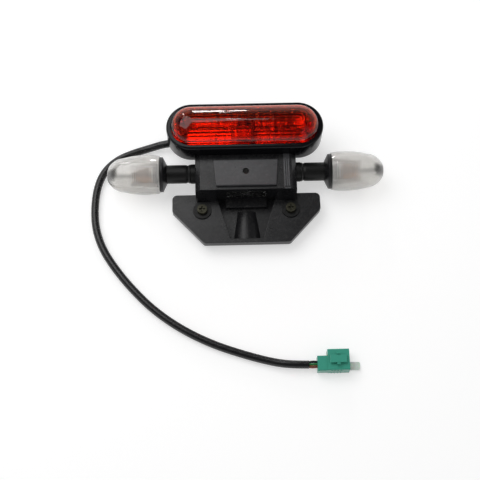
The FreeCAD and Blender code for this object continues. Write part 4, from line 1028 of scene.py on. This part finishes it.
def rounded(node: str, name: str, finish: Finish, slot: str, width: float, body: str = "root",
            clamp: bool = False) -> Piece:
    """Put a copy with rounded edges in a construction node's place.

    Args:
        node: the node to copy and replace.
        name: name of the new piece.
        finish: the copy's finish.
        slot: the material slot it stands for; not used.
        width: width of the rounded edges, in millimetres.
        body: the body it moves with.
        clamp: whether the width gives way where edges lie close together.

    Returns:
        The finished copy.
    """
    pick(frame["nodes"][node])
    bpy.ops.object.duplicate()
    piece = bpy.context.object
    piece.name = piece.data.name = name
    piece.parent = None
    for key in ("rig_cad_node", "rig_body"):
        del piece[key]
    bpy.ops.mesh.customdata_custom_splitnormals_clear()
    bpy.ops.object.mode_set(mode="EDIT")
    bpy.ops.mesh.select_all(action="SELECT")
    bpy.ops.mesh.remove_doubles(threshold=COPY_DOUBLES)
    bpy.ops.mesh.dissolve_limited(angle_limit=FLAT_ANGLE)
    bpy.ops.object.mode_set(mode="OBJECT")
    apply(piece, "BEVEL", width=width * MM, segments=2, limit_method="ANGLE", angle_limit=EDGE_ANGLE,
          use_clamp_overlap=clamp)
    smooth(piece)
    apply(piece, "WEIGHTED_NORMAL", keep_sharp=True)
    return dressed(piece, finish, slot, node, body=body)


def painted(finish: Finish, *nodes: str) -> None:
    """Give construction nodes a finish.

    Args:
        finish: the finish.
        nodes: the nodes that show it.
    """
    for node in nodes:
        mesh = frame["nodes"][node].data
        mesh.materials.clear()
        mesh.materials.append(finish.material())
        LOG.info("%s: %s", node, finish.name)


def smooth_curve(name: str, route: Sequence[Iterable[float]], radius: float, steps: int = 14,
                 facets: int = 5) -> Piece:
    """Tube along one smooth line.

    Args:
        name: name of the new piece.
        route: control points, in millimetres.
        radius: the tube's radius, in millimetres.
        steps: points between two control points.
        facets: how finely the tube is round.

    Returns:
        The curve, with closed ends.
    """
    curve = bpy.data.curves.new(name, "CURVE")
    curve.dimensions = "3D"
    spline = curve.splines.new("NURBS")
    spline.points.add(len(route) - 1)
    for point, place in zip(spline.points, route):
        point.co = (*(value * MM for value in place), 1.0)
    spline.order_u = 3
    spline.use_endpoint_u = True
    curve.resolution_u = steps
    curve.bevel_depth = radius * MM
    curve.bevel_resolution = facets
    curve.use_fill_caps = True
    return placed(name, curve)


def coil(start: Vector, end: Vector, turns: int) -> list[Vector]:
    """Points of a coiled wire.

    Args:
        start: where its axis starts.
        end: where its axis ends.
        turns: how many turns it has.

    Returns:
        The same number of points to each turn.
    """
    axis = (end - start).normalized()
    side = axis.orthogonal().normalized()
    up = axis.cross(side)
    points = []
    for i in range(turns * COIL_POINTS + 1):
        angle = TURN * i / COIL_POINTS
        middle = start.lerp(end, i / (turns * COIL_POINTS))
        points.append(middle + (side * math.cos(angle) + up * math.sin(angle)) * COIL_R)
    return points


def filament_wire(name: str, points: Sequence[Vector], body: str = "root") -> Piece:
    """Thin bulb wire along points in millimetres, on a body."""
    return dressed(smooth_curve(name, points, FILAMENT_R, steps=3, facets=1), ZINC, "zinc_steel", body=body)


@dataclass(frozen=True)
class Softbox:
    """One soft lamp: its place in millimetres, its sides in metres, and its share of plain white."""

    place: Spot
    width: float
    height: float
    share: float


LAMPS = {
    "key_softbox": Softbox((-560.0, 450.0, 1100.0), 1.15, 1.0, 0.5),
    "fill_softbox": Softbox((700.0, -500.0, 700.0), 0.8, 0.8, 0.04),
    "rim_strip": Softbox((-52.0, 1120.0, 400.0), 0.07, 0.22, 0.065),
    "catch_left": Softbox((-18.0, 1000.0, 560.0), 0.02, 0.07, 0.004),
    "catch_right": Softbox((11.0, 1120.0, 400.0), 0.04, 0.12, 0.022),
    "catch_crown": Softbox((4.0, 590.0, 1100.0), 0.03, 0.03, 0.004),
    "side_strip": Softbox((-520.0, 1000.0, 450.0), 0.10, 0.14, 0.03),
}


@dataclass
class Studio:
    """Camera, table, lamps and surroundings.

    Target and distance are in millimetres, the three turns of the camera in degrees, and the table's size
    in metres. Sky and zenith are strengths, and the horizon a span of heights.
    """

    target: Spot = (-7.6, -68.4, 20.0)
    distance: float = 1001.0
    tilt: float = 21.5
    swing: float = -1.0
    roll: float = -1.6
    lens: float = 75.0
    sensor: float = 36.0
    table_size: float = 12.0
    sky: float = 0.42
    zenith: float = 0.06
    horizon: Pair = (0.05, 0.6)

    def build(self) -> None:
        """Set up the view, the table, the lamps and the sky."""
        self.add_camera()
        self.add_table()
        for name, lamp in LAMPS.items():
            self.add_lamp(name, lamp)
        self.add_sky()
        bpy.context.scene.view_settings.view_transform = "Standard"

    def add_camera(self) -> None:
        """Look down on the set from the photograph's angle."""
        camera = placed("camera", bpy.data.cameras.new("camera"))
        camera.data.lens = self.lens
        camera.data.sensor_width = self.sensor
        swing, tilt, roll = (Matrix.Rotation(math.radians(degrees), 4, axis)
                             for degrees, axis in ((self.swing, "Y"), (self.tilt, "X"), (self.roll, "Z")))
        turn = swing @ tilt @ roll
        spot = metres(*self.target) + turn @ Z_AXIS * self.distance * MM
        camera.matrix_world = Matrix.Translation(spot) @ turn
        bpy.context.scene.camera = camera

    def add_table(self) -> None:
        """Wide pale table top at the height the set lies on."""
        bpy.ops.object.select_all(action="DESELECT")
        bpy.ops.mesh.primitive_plane_add(size=self.table_size)
        table = bpy.context.object
        table.name = "table_top"
        table.data.materials.append(TABLE_TOP.material())

    @staticmethod
    def add_lamp(name: str, lamp: Softbox) -> None:
        """Hang one softbox so that it looks at the middle of the set.

        Args:
            name: the lamp's name.
            lamp: its place, size and share.
        """
        light = bpy.data.lights.new(name, "AREA")
        light.shape = "RECTANGLE"
        light.size = lamp.width
        light.size_y = lamp.height
        spot = metres(*lamp.place)
        light.energy = math.pi ** 2 * spot.length_squared * lamp.share
        turn = spot.to_track_quat("Z", "Y").to_matrix().to_4x4()
        placed(name, light).matrix_world = Matrix.Translation(spot) @ turn

    def add_sky(self) -> None:
        """Soft even sky, white where it is seen, and mirrored darker overhead than at the horizon."""
        world = bpy.data.worlds.new("studio_white")
        world.use_nodes = True
        desk = NodeDesk(world.node_tree)
        path = desk.add("LightPath").outputs
        up = desk.split(desk.add("TexCoord").outputs["Generated"])["Z"]
        mirrored = desk.ranged(up, self.horizon, (1.0, self.zenith))
        seen = desk.math("MAXIMUM", path["Is Camera Ray"], path["Is Transmission Ray"])
        plain = desk.ranged(seen, RISING, (self.sky, 1.0))
        glossy = desk.times(path["Is Glossy Ray"], desk.math("SUBTRACT", mirrored, plain))
        desk.feed(world.node_tree.nodes["Background"], {
            "Color": (1.0, 1.0, 1.0, 1.0), "Strength": desk.math("ADD", plain, glossy)})
        bpy.context.scene.world = world


@dataclass
class Lead:
    """Sleeved cable, its gland, the wires and the connector at its end.

    The gland's tables hold (distance, radius) points: the collar's from the wall it sits in, and the tip's
    from its far end. A groove's points are (distance, depth), from where it starts.
    """

    radius: float = 4.0
    length: float = 432.3
    route: tuple[Spot, ...] = (
        (-66.0, 47.3, 10.25), (-81.9, 46.3, 10.25), (-100.6, 43.7, 4.05), (-118.9, 37.9, 4.05),
        (-135.1, 30.1, 4.05), (-147.8, 16.6, 4.05), (-154.2, -1.8, 4.05), (-156.1, -25.0, 4.05),
        (-154.1, -47.9, 4.05), (-146.2, -70.4, 4.05), (-132.2, -92.4, 4.05), (-115.0, -114.0, 4.05),
        (-94.0, -135.6, 4.05), (-67.8, -155.0, 4.05), (-37.9, -170.9, 4.05), (-6.7, -182.3, 4.05),
        (20.1, -190.3, 4.65), (39.0, -194.1, 7.0), (56.0, -194.4, 7.0))
    gland_wall: float = 46.0
    gland_length: float = 20.0
    gland_r: float = 6.0
    gland_tip_r: float = 5.0
    collar: Table = ((-5.0, 0.0), (-5.0, 5.0), (-3.0, 5.0), (-3.0, 4.6), (0.0, 4.6), (0.0, 5.6), (0.4, 6.0))
    groove: Table = ((0.0, 0.0), (0.3, 0.55), (1.1, 0.55), (1.4, 0.05))
    groove_count: int = 5
    groove_start: float = 3.0
    groove_pitch: float = 3.0
    tip: Table = ((-0.5, 5.0), (0.0, 4.6), (0.0, 0.0))
    wire_r: float = 0.95
    wire_pitch: float = 2.3
    wire_length: float = 8.0
    wire_bow: float = 0.35
    wire_bend: Pair = (0.3, 0.7)
    wires_in_row: int = 3

    def build(self) -> None:
        """Make the cable first, then what is on it."""
        sleeve = smooth_curve("cable_sleeve", self.route, self.radius)
        cable = dressed(sleeve, CABLE_BLACK, "cable_sleeve", "cable")
        carried = self.wires() + self.connector()
        self.gland()

    def gland(self) -> None:
        """Tapered rubber strain relief with rings cut round it."""
        wall, taper = self.gland_wall, (self.gland_r - self.gland_tip_r) / self.gland_length
        profile = [(wall + along, radius) for along, radius in self.collar]
        for i in range(self.groove_count):
            start = self.groove_start + i * self.groove_pitch
            outer = self.gland_r - taper * start
            profile += [(wall + start + along, outer - depth) for along, depth in self.groove]
        profile += [(wall + self.gland_length + along, radius) for along, radius in self.tip]
        origin = Vector((0, *self.route[0][1:]))
        piece = turned("cable_gland_boot", profile, origin, -X_AXIS)
        dressed(piece, RUBBER, "rubber_black", "cable_gland")

    def wires(self) -> list[Piece]:
        """Thin wires, one of each colour, that bow a little between sleeve and connector.

        Returns:
            The wires.
        """
        x, y, z = self.route[-1]
        bow = 1 + self.wire_bow / self.wire_pitch
        rows = len(WireColour) / self.wires_in_row
        made = []
        for place, colour in enumerate(WireColour):
            row, column = divmod(place, self.wires_in_row)
            side = (column - (self.wires_in_row - 1) / 2) * self.wire_pitch
            up = (row - (rows - 1) / 2) * self.wire_pitch
            route = [(x + share * self.wire_length, y + side * spread, z + up * spread)
                     for share, spread in zip((0.0, *self.wire_bend, 1.0), (1.0, bow, bow, 1.0))]
            shade = colour.name.lower()
            finish = PolishedPlastic(f"wire_insulation_{shade}", colour.value, roughness=0.3)
            replaced = () if made else ("connector_wires",)
            made.append(dressed(smooth_curve(f"connector_wire_{shade}", route, self.wire_r), finish,
                                "wire_insulation", *replaced))
        return made

    @staticmethod
    def connector() -> list[Piece]:
        """Green shell, pale tongue and rocking latch with rounded edges, and brass terminals.

        Returns:
            The four pieces.
        """
        shell = rounded("connector_housing", "connector_shell", GREEN_NYLON, "green_nylon", width=0.12,
                        clamp=True)
        tab = rounded("connector_tongue", "connector_retainer", PALE_NYLON, "pale_nylon", width=0.25)
        latch = rounded("connector_latch", "connector_rocker", GREEN_NYLON, "green_nylon", width=0.2,
                        body="latch")
        painted(BRASS, "connector_terminals")
        return [shell, tab, latch, frame["nodes"]["connector_terminals"]]


@dataclass
class Bulb:
    """Filament bulb: a thin glass on an axis, with its filament.

    Neck is where the glass starts on the axis. Posts is the filament's half width as a share of the neck's
    radius, and height its place as a share of the glass's length.
    """

    name: str
    origin: Vector
    axis: Vector
    neck: float
    neck_r: float
    body_r: float
    length: float
    wall: float = 0.7
    turns: int = 7
    posts: float = 0.45
    height: float = 0.45
    round_steps: int = 12

    def glass(self) -> Piece:
        """Hollow glass with a round end.

        Returns:
            The closed glass.
        """
        shoulder = self.neck + self.body_r - self.neck_r
        end = self.neck + self.length
        turn = end - self.body_r
        inner_r = self.body_r - self.wall
        line = [(end - self.wall, 0.0)]
        line += rounding(line[-1], (turn, 0.0), (turn, inner_r), self.round_steps)
        line += [(shoulder, inner_r), (self.neck, self.neck_r - self.wall)]
        line += [(self.neck, self.neck_r), (shoulder, self.body_r), (turn, self.body_r)]
        line += rounding((turn, self.body_r), (turn, 0.0), (end, 0.0), self.round_steps)
        return turned(self.name, line, self.origin, self.axis)

    def filament(self, body: str) -> None:
        """Two posts with a coiled wire between them.

        Args:
            body: the body it moves with.
        """
        half = across(self.axis) * self.neck_r * self.posts
        foot = self.origin + self.axis * self.neck
        top = foot + self.axis * self.length * self.height
        wound = coil(top - half, top + half, self.turns)
        filament_wire(f"{self.name}_filament", [foot - half, *wound, foot + half], body)


@dataclass
class TailLamp:
    """Housing, red lens, faceted reflector and bulb of the tail and brake lamp.

    Ledge is the lens's seat in the housing. The bowl's via says where its wall passes, as shares of its
    width and height. A flute is a column of the lens's inner wall that is pushed out, and every point of
    that wall lies further than skin from the outer line. Slacks are how far a point may lie off its place.
    """

    centre_y: float = 45.0
    back_z: float = 18.0
    rim_z: float = 50.0
    housing_w: float = 160.0
    housing_h: float = 52.0
    housing_wall: float = 3.0
    rim_r: float = 2.5
    back_r: float = 9.0
    lens_w: float = 150.0
    lens_h: float = 42.0
    lens_wall: float = 2.5
    lens_crown: float = 14.0
    lens_edge_r: float = 10.0
    lens_seat_z: float = 45.5
    seat_gap: float = 0.25
    seat_chamfer: float = 0.35
    ledge_w: float = 3.0
    ledge_z: float = 44.0
    ledge_t: float = 2.5
    post_x: float = 63.5
    post_r: float = 3.75
    post_z: float = 24.3
    post_gap: float = 1.2
    post_bore_r: float = 1.5
    post_bore_l: float = 10.0
    socket_r: float = 10.0
    screw_x: float = 30.0
    screw_r: float = 1.85
    head_r: float = 3.7
    clearance: float = 0.3
    overrun: float = 1.0
    reflector_depth: float = 19.0
    reflector_floor_r: float = 8.0
    reflector_t: float = 1.5
    reflector_gap: float = 0.5
    reflector_hole_r: float = 13.3
    reflector_cut: float = 30.0
    bowl_via: Pair = (0.78, 0.42)
    bowl_steps: int = 5
    pillow: float = 0.35
    pillow_pitch: float = 3.6
    flute: float = 0.45
    flute_every: int = 4
    flute_first: int = 2
    column_slack: float = 0.05
    top_slack: float = 0.1
    skin: float = 0.9
    end_steps: int = 24
    side_steps: int = 60

    def build(self) -> None:
        """Build the lamp from the back to the front."""
        dressed(self.housing(), HOUSING_BLACK, "gloss_black", "tail_housing")
        dressed(self.reflector(), SILVERED, "chrome_bowl", "tail_reflector")
        dressed(self.lens(), RED_CLEAR, "red_lens", "tail_lens")
        for side in Side:
            dressed(self.lens_post(side), RED_CLEAR, "red_lens")
        bulb = Bulb("tail_bulb_envelope", Vector((0, self.centre_y, 0)), Z_AXIS, neck=30.7, neck_r=7.5,
                    body_r=11.0, length=26.0)
        dressed(bulb.glass(), BULB_CLEAR, "bulb_glass", "tail_bulb_glass")
        bulb.filament("root")
        painted(RUBBER, "lens_gasket")
        painted(ZINC, "housing_screws", "lens_screws", "tail_bulb_socket")
        painted(BRASS, "tail_bulb_contact", "tail_bulb_cap")

    @property
    def lens_half(self) -> float:
        """Half the length of the lens's middle line."""
        return (self.lens_w - self.lens_h) / 2

    @property
    def lens_top(self) -> float:
        """Height of the lens's inner wall at its crown."""
        return self.rim_z + self.lens_crown - self.lens_wall

    @property
    def lens_outline(self) -> Line:
        """Outer line of the lens from its edge to its crown."""
        return dome(self.lens_h / 2, self.rim_z, self.rim_z + self.lens_crown, self.lens_edge_r, steps=14)

    def drill(self, piece: Piece, start: float, length: float, holes: Iterable[Pair]) -> None:
        """Cut round holes through a piece, on the lamp's middle line.

        Args:
            piece: the piece to cut.
            start: height where each hole starts.
            length: how far each hole goes up.
            holes: (place along X, radius) of each.
        """
        for x, radius in holes:
            origin = Vector((x, self.centre_y, start))
            profile = ((0, 0), (0, radius), (length, radius), (length, 0))
            cutter = turned("cutter", profile, origin, Z_AXIS)
            apply(piece, "BOOLEAN", object=cutter, operation="DIFFERENCE", solver="EXACT")
            bpy.data.objects.remove(cutter)

    def housing(self) -> Piece:
        """Glossy shell with a rolled rim, a lens seat and holes for the bulb and the lens screws.

        Returns:
            The closed shell.
        """
        edge = self.housing_h / 2
        seat = self.lens_h / 2 + self.seat_gap
        ledge = seat - self.ledge_w
        floor = self.back_z + self.housing_wall
        inside = edge - self.housing_wall
        inner_r = self.back_r - self.housing_wall
        back = (edge - self.back_r, self.back_z + self.back_r)
        rim = (edge - self.rim_r, self.rim_z - self.rim_r)
        line: Line = [(0.0, self.back_z), (back[0], self.back_z)]
        line += rounding(line[-1], back, (edge, back[1]), steps=10)
        line.append((edge, rim[1]))
        line += rounding(line[-1], rim, (rim[0], self.rim_z), steps=8)
        line += [(seat + self.seat_chamfer, self.rim_z), (seat, self.rim_z - self.seat_chamfer),
                 (seat, self.ledge_z), (ledge, self.ledge_z), (ledge, self.ledge_z - self.ledge_t),
                 (inside, self.ledge_z - self.ledge_t), (inside, floor + inner_r)]
        line += rounding(line[-1], (inside - inner_r, floor + inner_r), (inside - inner_r, floor), steps=6)
        line.append((0.0, floor))
        half = (self.housing_w - self.housing_h) / 2
        piece = oblong("tail_housing_shell", line, half, self.centre_y, end_steps=40, side_steps=6)
        holes = [(0.0, self.socket_r + self.clearance)]
        for side in Side:
            holes += [(side.value * self.screw_x, self.screw_r), (side.value * self.post_x, self.head_r)]
        self.drill(piece, self.back_z - self.overrun, self.housing_wall + 2 * self.overrun, holes)
        return smooth(piece)

    def bowl_line(self, inset: float) -> Line:
        """Line of the bowl's wall from its flat floor to its rim.

        Args:
            inset: how far it lies inside the bowl's outer face.

        Returns:
            (distance from the middle line, height) points.
        """
        floor = self.back_z + self.housing_wall
        low, high = floor + inset, floor + self.reflector_depth
        flat = self.reflector_floor_r - inset
        edge = self.lens_h / 2 + self.seat_gap - self.ledge_w - self.reflector_gap - inset
        along, up = self.bowl_via
        via = (flat + along * (edge - flat), low + up * (high - low))
        return [(0.0, low), (flat, low), *arc((flat, low), via, (edge, high), self.bowl_steps)]

    def reflector(self) -> Piece:
        """Silvered bowl in flat facets, open round the bulb socket and the posts.

        Returns:
            The closed bowl.
        """
        line = self.bowl_line(0.0) + self.bowl_line(self.reflector_t)[::-1]
        piece = oblong("tail_reflector_bowl", line, self.lens_half, self.centre_y, end_steps=14,
                       side_steps=22)
        holes = [(0.0, self.reflector_hole_r)]
        for x, radius in ((self.screw_x, self.screw_r), (self.post_x, self.post_r)):
            holes += [(side.value * x, radius + self.clearance) for side in Side]
        self.drill(piece, self.back_z + self.housing_wall - self.overrun, self.reflector_cut, holes)
        return smooth(piece, degrees=3.0)

    def lens(self) -> Piece:
        """Domed lens, smooth outside, with rows of pillow optics inside.

        Returns:
            The closed lens.
        """
        edge = self.lens_h / 2
        inner = edge - self.lens_wall
        inside = dome(inner, self.rim_z, self.lens_top, self.lens_edge_r - self.lens_wall, steps=20)
        line = self.lens_outline[::-1] + [(edge, self.lens_seat_z), (inner, self.lens_seat_z)]
        line += rippled(inside, self.pillow_pitch, self.pillow)
        piece = oblong("tail_lens_shell", line, self.lens_half, self.centre_y, self.end_steps,
                       self.side_steps)
        self.press_flutes(piece)
        return smooth(piece, degrees=40.0)

    def press_flutes(self, piece: Piece) -> None:
        """Push every few columns of the inner wall outwards, so that its optics are pillows.

        Args:
            piece: the lens.
        """
        step = 2 * self.lens_half / self.side_steps
        outline = self.lens_outline

        def on_column(place: Vector) -> bool:
            """Test a point for being on the inner wall, in a column that is pushed.

            Args:
                place: the point, in millimetres.

            Returns:
                Whether it is.
            """
            column = (place.x + self.lens_half) / step
            whole = round(column)
            if abs(column - whole) >= self.column_slack or whole % self.flute_every != self.flute_first:
                return False
            off = (abs(place.y - self.centre_y), place.z)
            inner = all(math.dist(off, point) > self.skin for point in outline)
            return inner and self.rim_z < place.z < self.lens_top + self.top_slack

        choose(piece, on_column)
        bpy.ops.transform.translate(value=Z_AXIS * self.flute * MM)
        bpy.ops.object.mode_set(mode="OBJECT")

    def lens_post(self, side: Side) -> Piece:
        """Post under the lens that its screw bites into.

        Args:
            side: the side it stands on.

        Returns:
            The closed post.
        """
        foot, top = self.post_z, self.lens_top - self.post_gap
        bore = foot + self.post_bore_l
        line = ((bore, 0.0), (bore, self.post_bore_r), (foot, self.post_bore_r), (foot, self.post_r),
                (top, self.post_r), (top, 0.0))
        origin = Vector((side.value * self.post_x, self.centre_y, 0))
        return turned(side.name_of("tail_lens_post"), line, origin, Z_AXIS, steps=40)


@dataclass
class Bracket:
    """Body moulding with its front panel, plate fixings, plate lamp, rear cover and mounting plate.

    The sizes are those of the plate lamp's bulb.
    """

    bulb_edge_r: float = 1.5
    bulb_wall: float = 0.6
    coil_turns: int = 16

    def build(self) -> None:
        """Round the edges of the mouldings and finish every piece."""
        for node, name, finish, slot, width in (
                ("body_bracket", "body_moulding", BRACKET_BLACK, "black_plastic", 0.45),
                ("front_cover", "front_panel", PANEL_GREY, "panel_plastic", 0.3),
                ("cover_screw", "front_panel_screw", DARK_STEEL, "dark_steel", 0.15),
                ("plate_grommets", "plate_rubber_grommets", RUBBER, "rubber_black", 0.35),
                ("plate_screws", "plate_fixing_screws", OLIVE_STEEL, "dark_steel", 0.4),
                ("plate_lamp_lens", "plate_lamp_window", WINDOW, "clear_lens", 0.3),
                ("rear_cover", "rear_closing_cover", BASE_BLACK, "black_plastic", 0.4),
                ("mounting_plate", "steel_mounting_plate", COATED, "coated_steel", 0.3)):
            rounded(node, name, finish, slot, width)
        painted(ZINC, "rear_cover_screws", "weld_nuts", "mounting_plate_screws", "plate_nuts",
                "plate_lamp_bulb_caps")
        painted(OLIVE_STEEL, "plate_lamp_clips")
        self.festoon()

    def festoon(self) -> None:
        """Small tubular bulb of the number plate lamp: a thin glass with a long coil in it."""
        low, high = (Vector(corner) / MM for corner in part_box("plate_lamp_bulb"))
        middle = (low + high) / 2
        half, _, radius = (high - low) / 2
        end, side = half - self.bulb_edge_r, radius - self.bulb_edge_r
        line: Line = [(-half, 0.0), (-half, side)]
        line += rounding((-half, side), (-end, side), (-end, radius), steps=6)
        line.append((end, radius))
        line += rounding((end, radius), (end, side), (half, side), steps=6)
        line.append((half, 0.0))
        glass = turned("plate_lamp_envelope", line, middle, X_AXIS)
        apply(glass, "SOLIDIFY", thickness=self.bulb_wall * MM, offset=-1.0)
        dressed(glass, BULB_CLEAR, "bulb_glass", "plate_lamp_bulb")
        reach = X_AXIS * (half - 2 * self.bulb_wall)
        filament_wire("plate_lamp_filament", coil(middle - reach, middle + reach, self.coil_turns))


@dataclass
class Indicator:
    """One direction indicator: stalk, base, clear lens, tray, bulb and screw.

    Places along the axis are distances from the middle of the set. The boot's table holds (distance past
    the hinge, radius) points of its foot, its bead and the start of its sleeve, and the plug's table
    (distance past the base's end, radius) points. Bend is a span past the hinge, from where to where; the
    boot does not bend.
    Belly, shoulder, nose and tip are points of the lens's outer line, and nose_wall says how much of the
    wall the inner line stands back at the nose.
    """

    side: Side
    axis_y: float = 4.5
    axis_z: float = 22.0
    hinge_x: float = 56.0
    base_x: float = 80.5
    boot: Table = ((-4.0, 2.5), (-4.0, 6.6), (-1.6, 8.0), (-0.1, 8.25), (0.1, 9.35), (1.0, 9.75),
                   (2.0, 9.35), (2.8, 8.75), (3.6, 8.85), (4.4, 9.4), (5.2, 9.5))
    sleeve_steps: int = 10
    plug: Table = ((2.8, 6.0), (2.8, 2.5))
    bend: Pair = (0.5, 14.0)
    lens_x: float = 87.5
    wall: float = 1.8
    start_r: float = 19.3
    belly: Pair = (101.5, 20.5)
    shoulder: Pair = (124.5, 17.6)
    nose: Pair = (135.72, 13.19)
    nose_wall: Pair = (0.7, 0.72)
    tip: Pair = (141.0, 6.0)
    pocket_r: float = 4.2
    pocket_x: float = 136.5
    boss_x: float = 134.3
    boss_r: float = 5.6
    screw_hole_r: float = 1.9
    ring_pitch: float = 1.9
    ring_depth: float = 0.3

    @property
    def body(self) -> str:
        """Name of the body that turns with the stalk."""
        return self.named("indicator")

    @property
    def axis(self) -> Vector:
        """Direction from the middle of the set to the indicator's tip."""
        return X_AXIS * self.side.value

    @property
    def origin(self) -> Vector:
        """Where the axis crosses the middle of the set, in millimetres."""
        return Vector((0, self.axis_y, self.axis_z))

    def named(self, part: str) -> str:
        """This side's name for a piece."""
        return self.side.name_of(part)

    def build(self) -> None:
        """Build the indicator from its stalk to its tip."""
        name, body = self.named, self.body
        self.stalk_boot()
        rounded(name("indicator_base"), name("indicator_cup"), BASE_BLACK, "black_plastic", width=0.3,
                body=body)
        dressed(self.lens(), CLEAR, "clear_lens", name("indicator_lens"), body=body)
        for node, copy, finish, slot, width in (
                ("indicator_screw", "indicator_tip_screw", BROWN_STEEL, "dark_steel", 0.2),
                ("indicator_reflector", "indicator_tray", TRAY_SILVER, "chrome_bowl", 0.15)):
            rounded(name(node), name(copy), finish, slot, width, body)
        bulb = Bulb(name("indicator_bulb_envelope"), self.origin, self.axis, neck=97.5, neck_r=7.5,
                    body_r=8.8, length=17.0)
        dressed(bulb.glass(), BULB_AMBER, "amber_glass", name("indicator_bulb_glass"), body=body)
        bulb.filament(body)
        painted(RUBBER, name("indicator_gasket"), name("stalk_root"))
        painted(HOLDER_BLACK, name("indicator_socket"))
        painted(ZINC, name("indicator_bulb_cap"))

    def stalk_boot(self) -> None:
        """Rubber boot over the stalk, from where the stalk leaves its foot."""
        profile = [(self.hinge_x + along, radius) for along, radius in self.boot]
        start, sleeve_r = profile[-1]
        reach = (self.base_x - start) / self.sleeve_steps
        profile += [(start + reach * (i + 1), sleeve_r) for i in range(self.sleeve_steps)]
        profile += [(self.base_x + along, radius) for along, radius in self.plug]
        profile.append(profile[0])
        piece = turned(self.named("stalk_boot"), profile, self.origin, self.axis, steps=64)
        piece.data.materials.append(RUBBER.material())
        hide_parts(self.named("stalk"))
        start, end = ((self.side.value * (self.hinge_x + along) * MM, self.axis_y * MM, self.axis_z * MM)
                      for along in self.bend)
        self.body
        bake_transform(piece)
        LOG.info("%s: %s between root and %s", piece.name, RUBBER.name, self.body)

    def lens(self) -> Piece:
        """Bullet-shaped lens with fine rings inside and a sunk place for its screw.

        Returns:
            The closed lens.
        """
        start = (self.lens_x, self.start_r)
        outside = [start, *arc(start, self.belly, self.shoulder, steps=14),
                   *arc(self.shoulder, self.nose, self.tip, steps=12)]
        pocket: Line = [(self.tip[0], self.pocket_r), (self.pocket_x, self.pocket_r),
                        (self.pocket_x, self.screw_hole_r), (self.boss_x, self.screw_hole_r),
                        (self.boss_x, self.boss_r)]
        tip_in = (self.tip[0] - self.wall, self.tip[1] - self.wall)
        nose_in = tuple(place - share * self.wall for place, share in zip(self.nose, self.nose_wall))
        shoulder_in, belly_in, start_in = ((x, radius - self.wall)
                                           for x, radius in (self.shoulder, self.belly, start))
        inner = [tip_in, *arc(tip_in, nose_in, shoulder_in, steps=16)]
        inner = [point for point in inner if point[1] > self.boss_r]
        rings = rippled([shoulder_in, *arc(shoulder_in, belly_in, start_in, steps=20)], self.ring_pitch,
                        -self.ring_depth)
        line = [*outside, *pocket, (inner[0][0], self.boss_r), *inner, *rings[1:], start]
        return turned(self.named("indicator_shell"), line, self.origin, self.axis, steps=96)


def main() -> None:
    """Build the studio and every sub-assembly."""
    logging.basicConfig(level=logging.INFO, format="%(message)s")
    Studio().build()
    Lead().build()
    TailLamp().build()
    Bracket().build()
    for side in Side:
        Indicator(side).build()


if __name__ == "__main__":
    main()
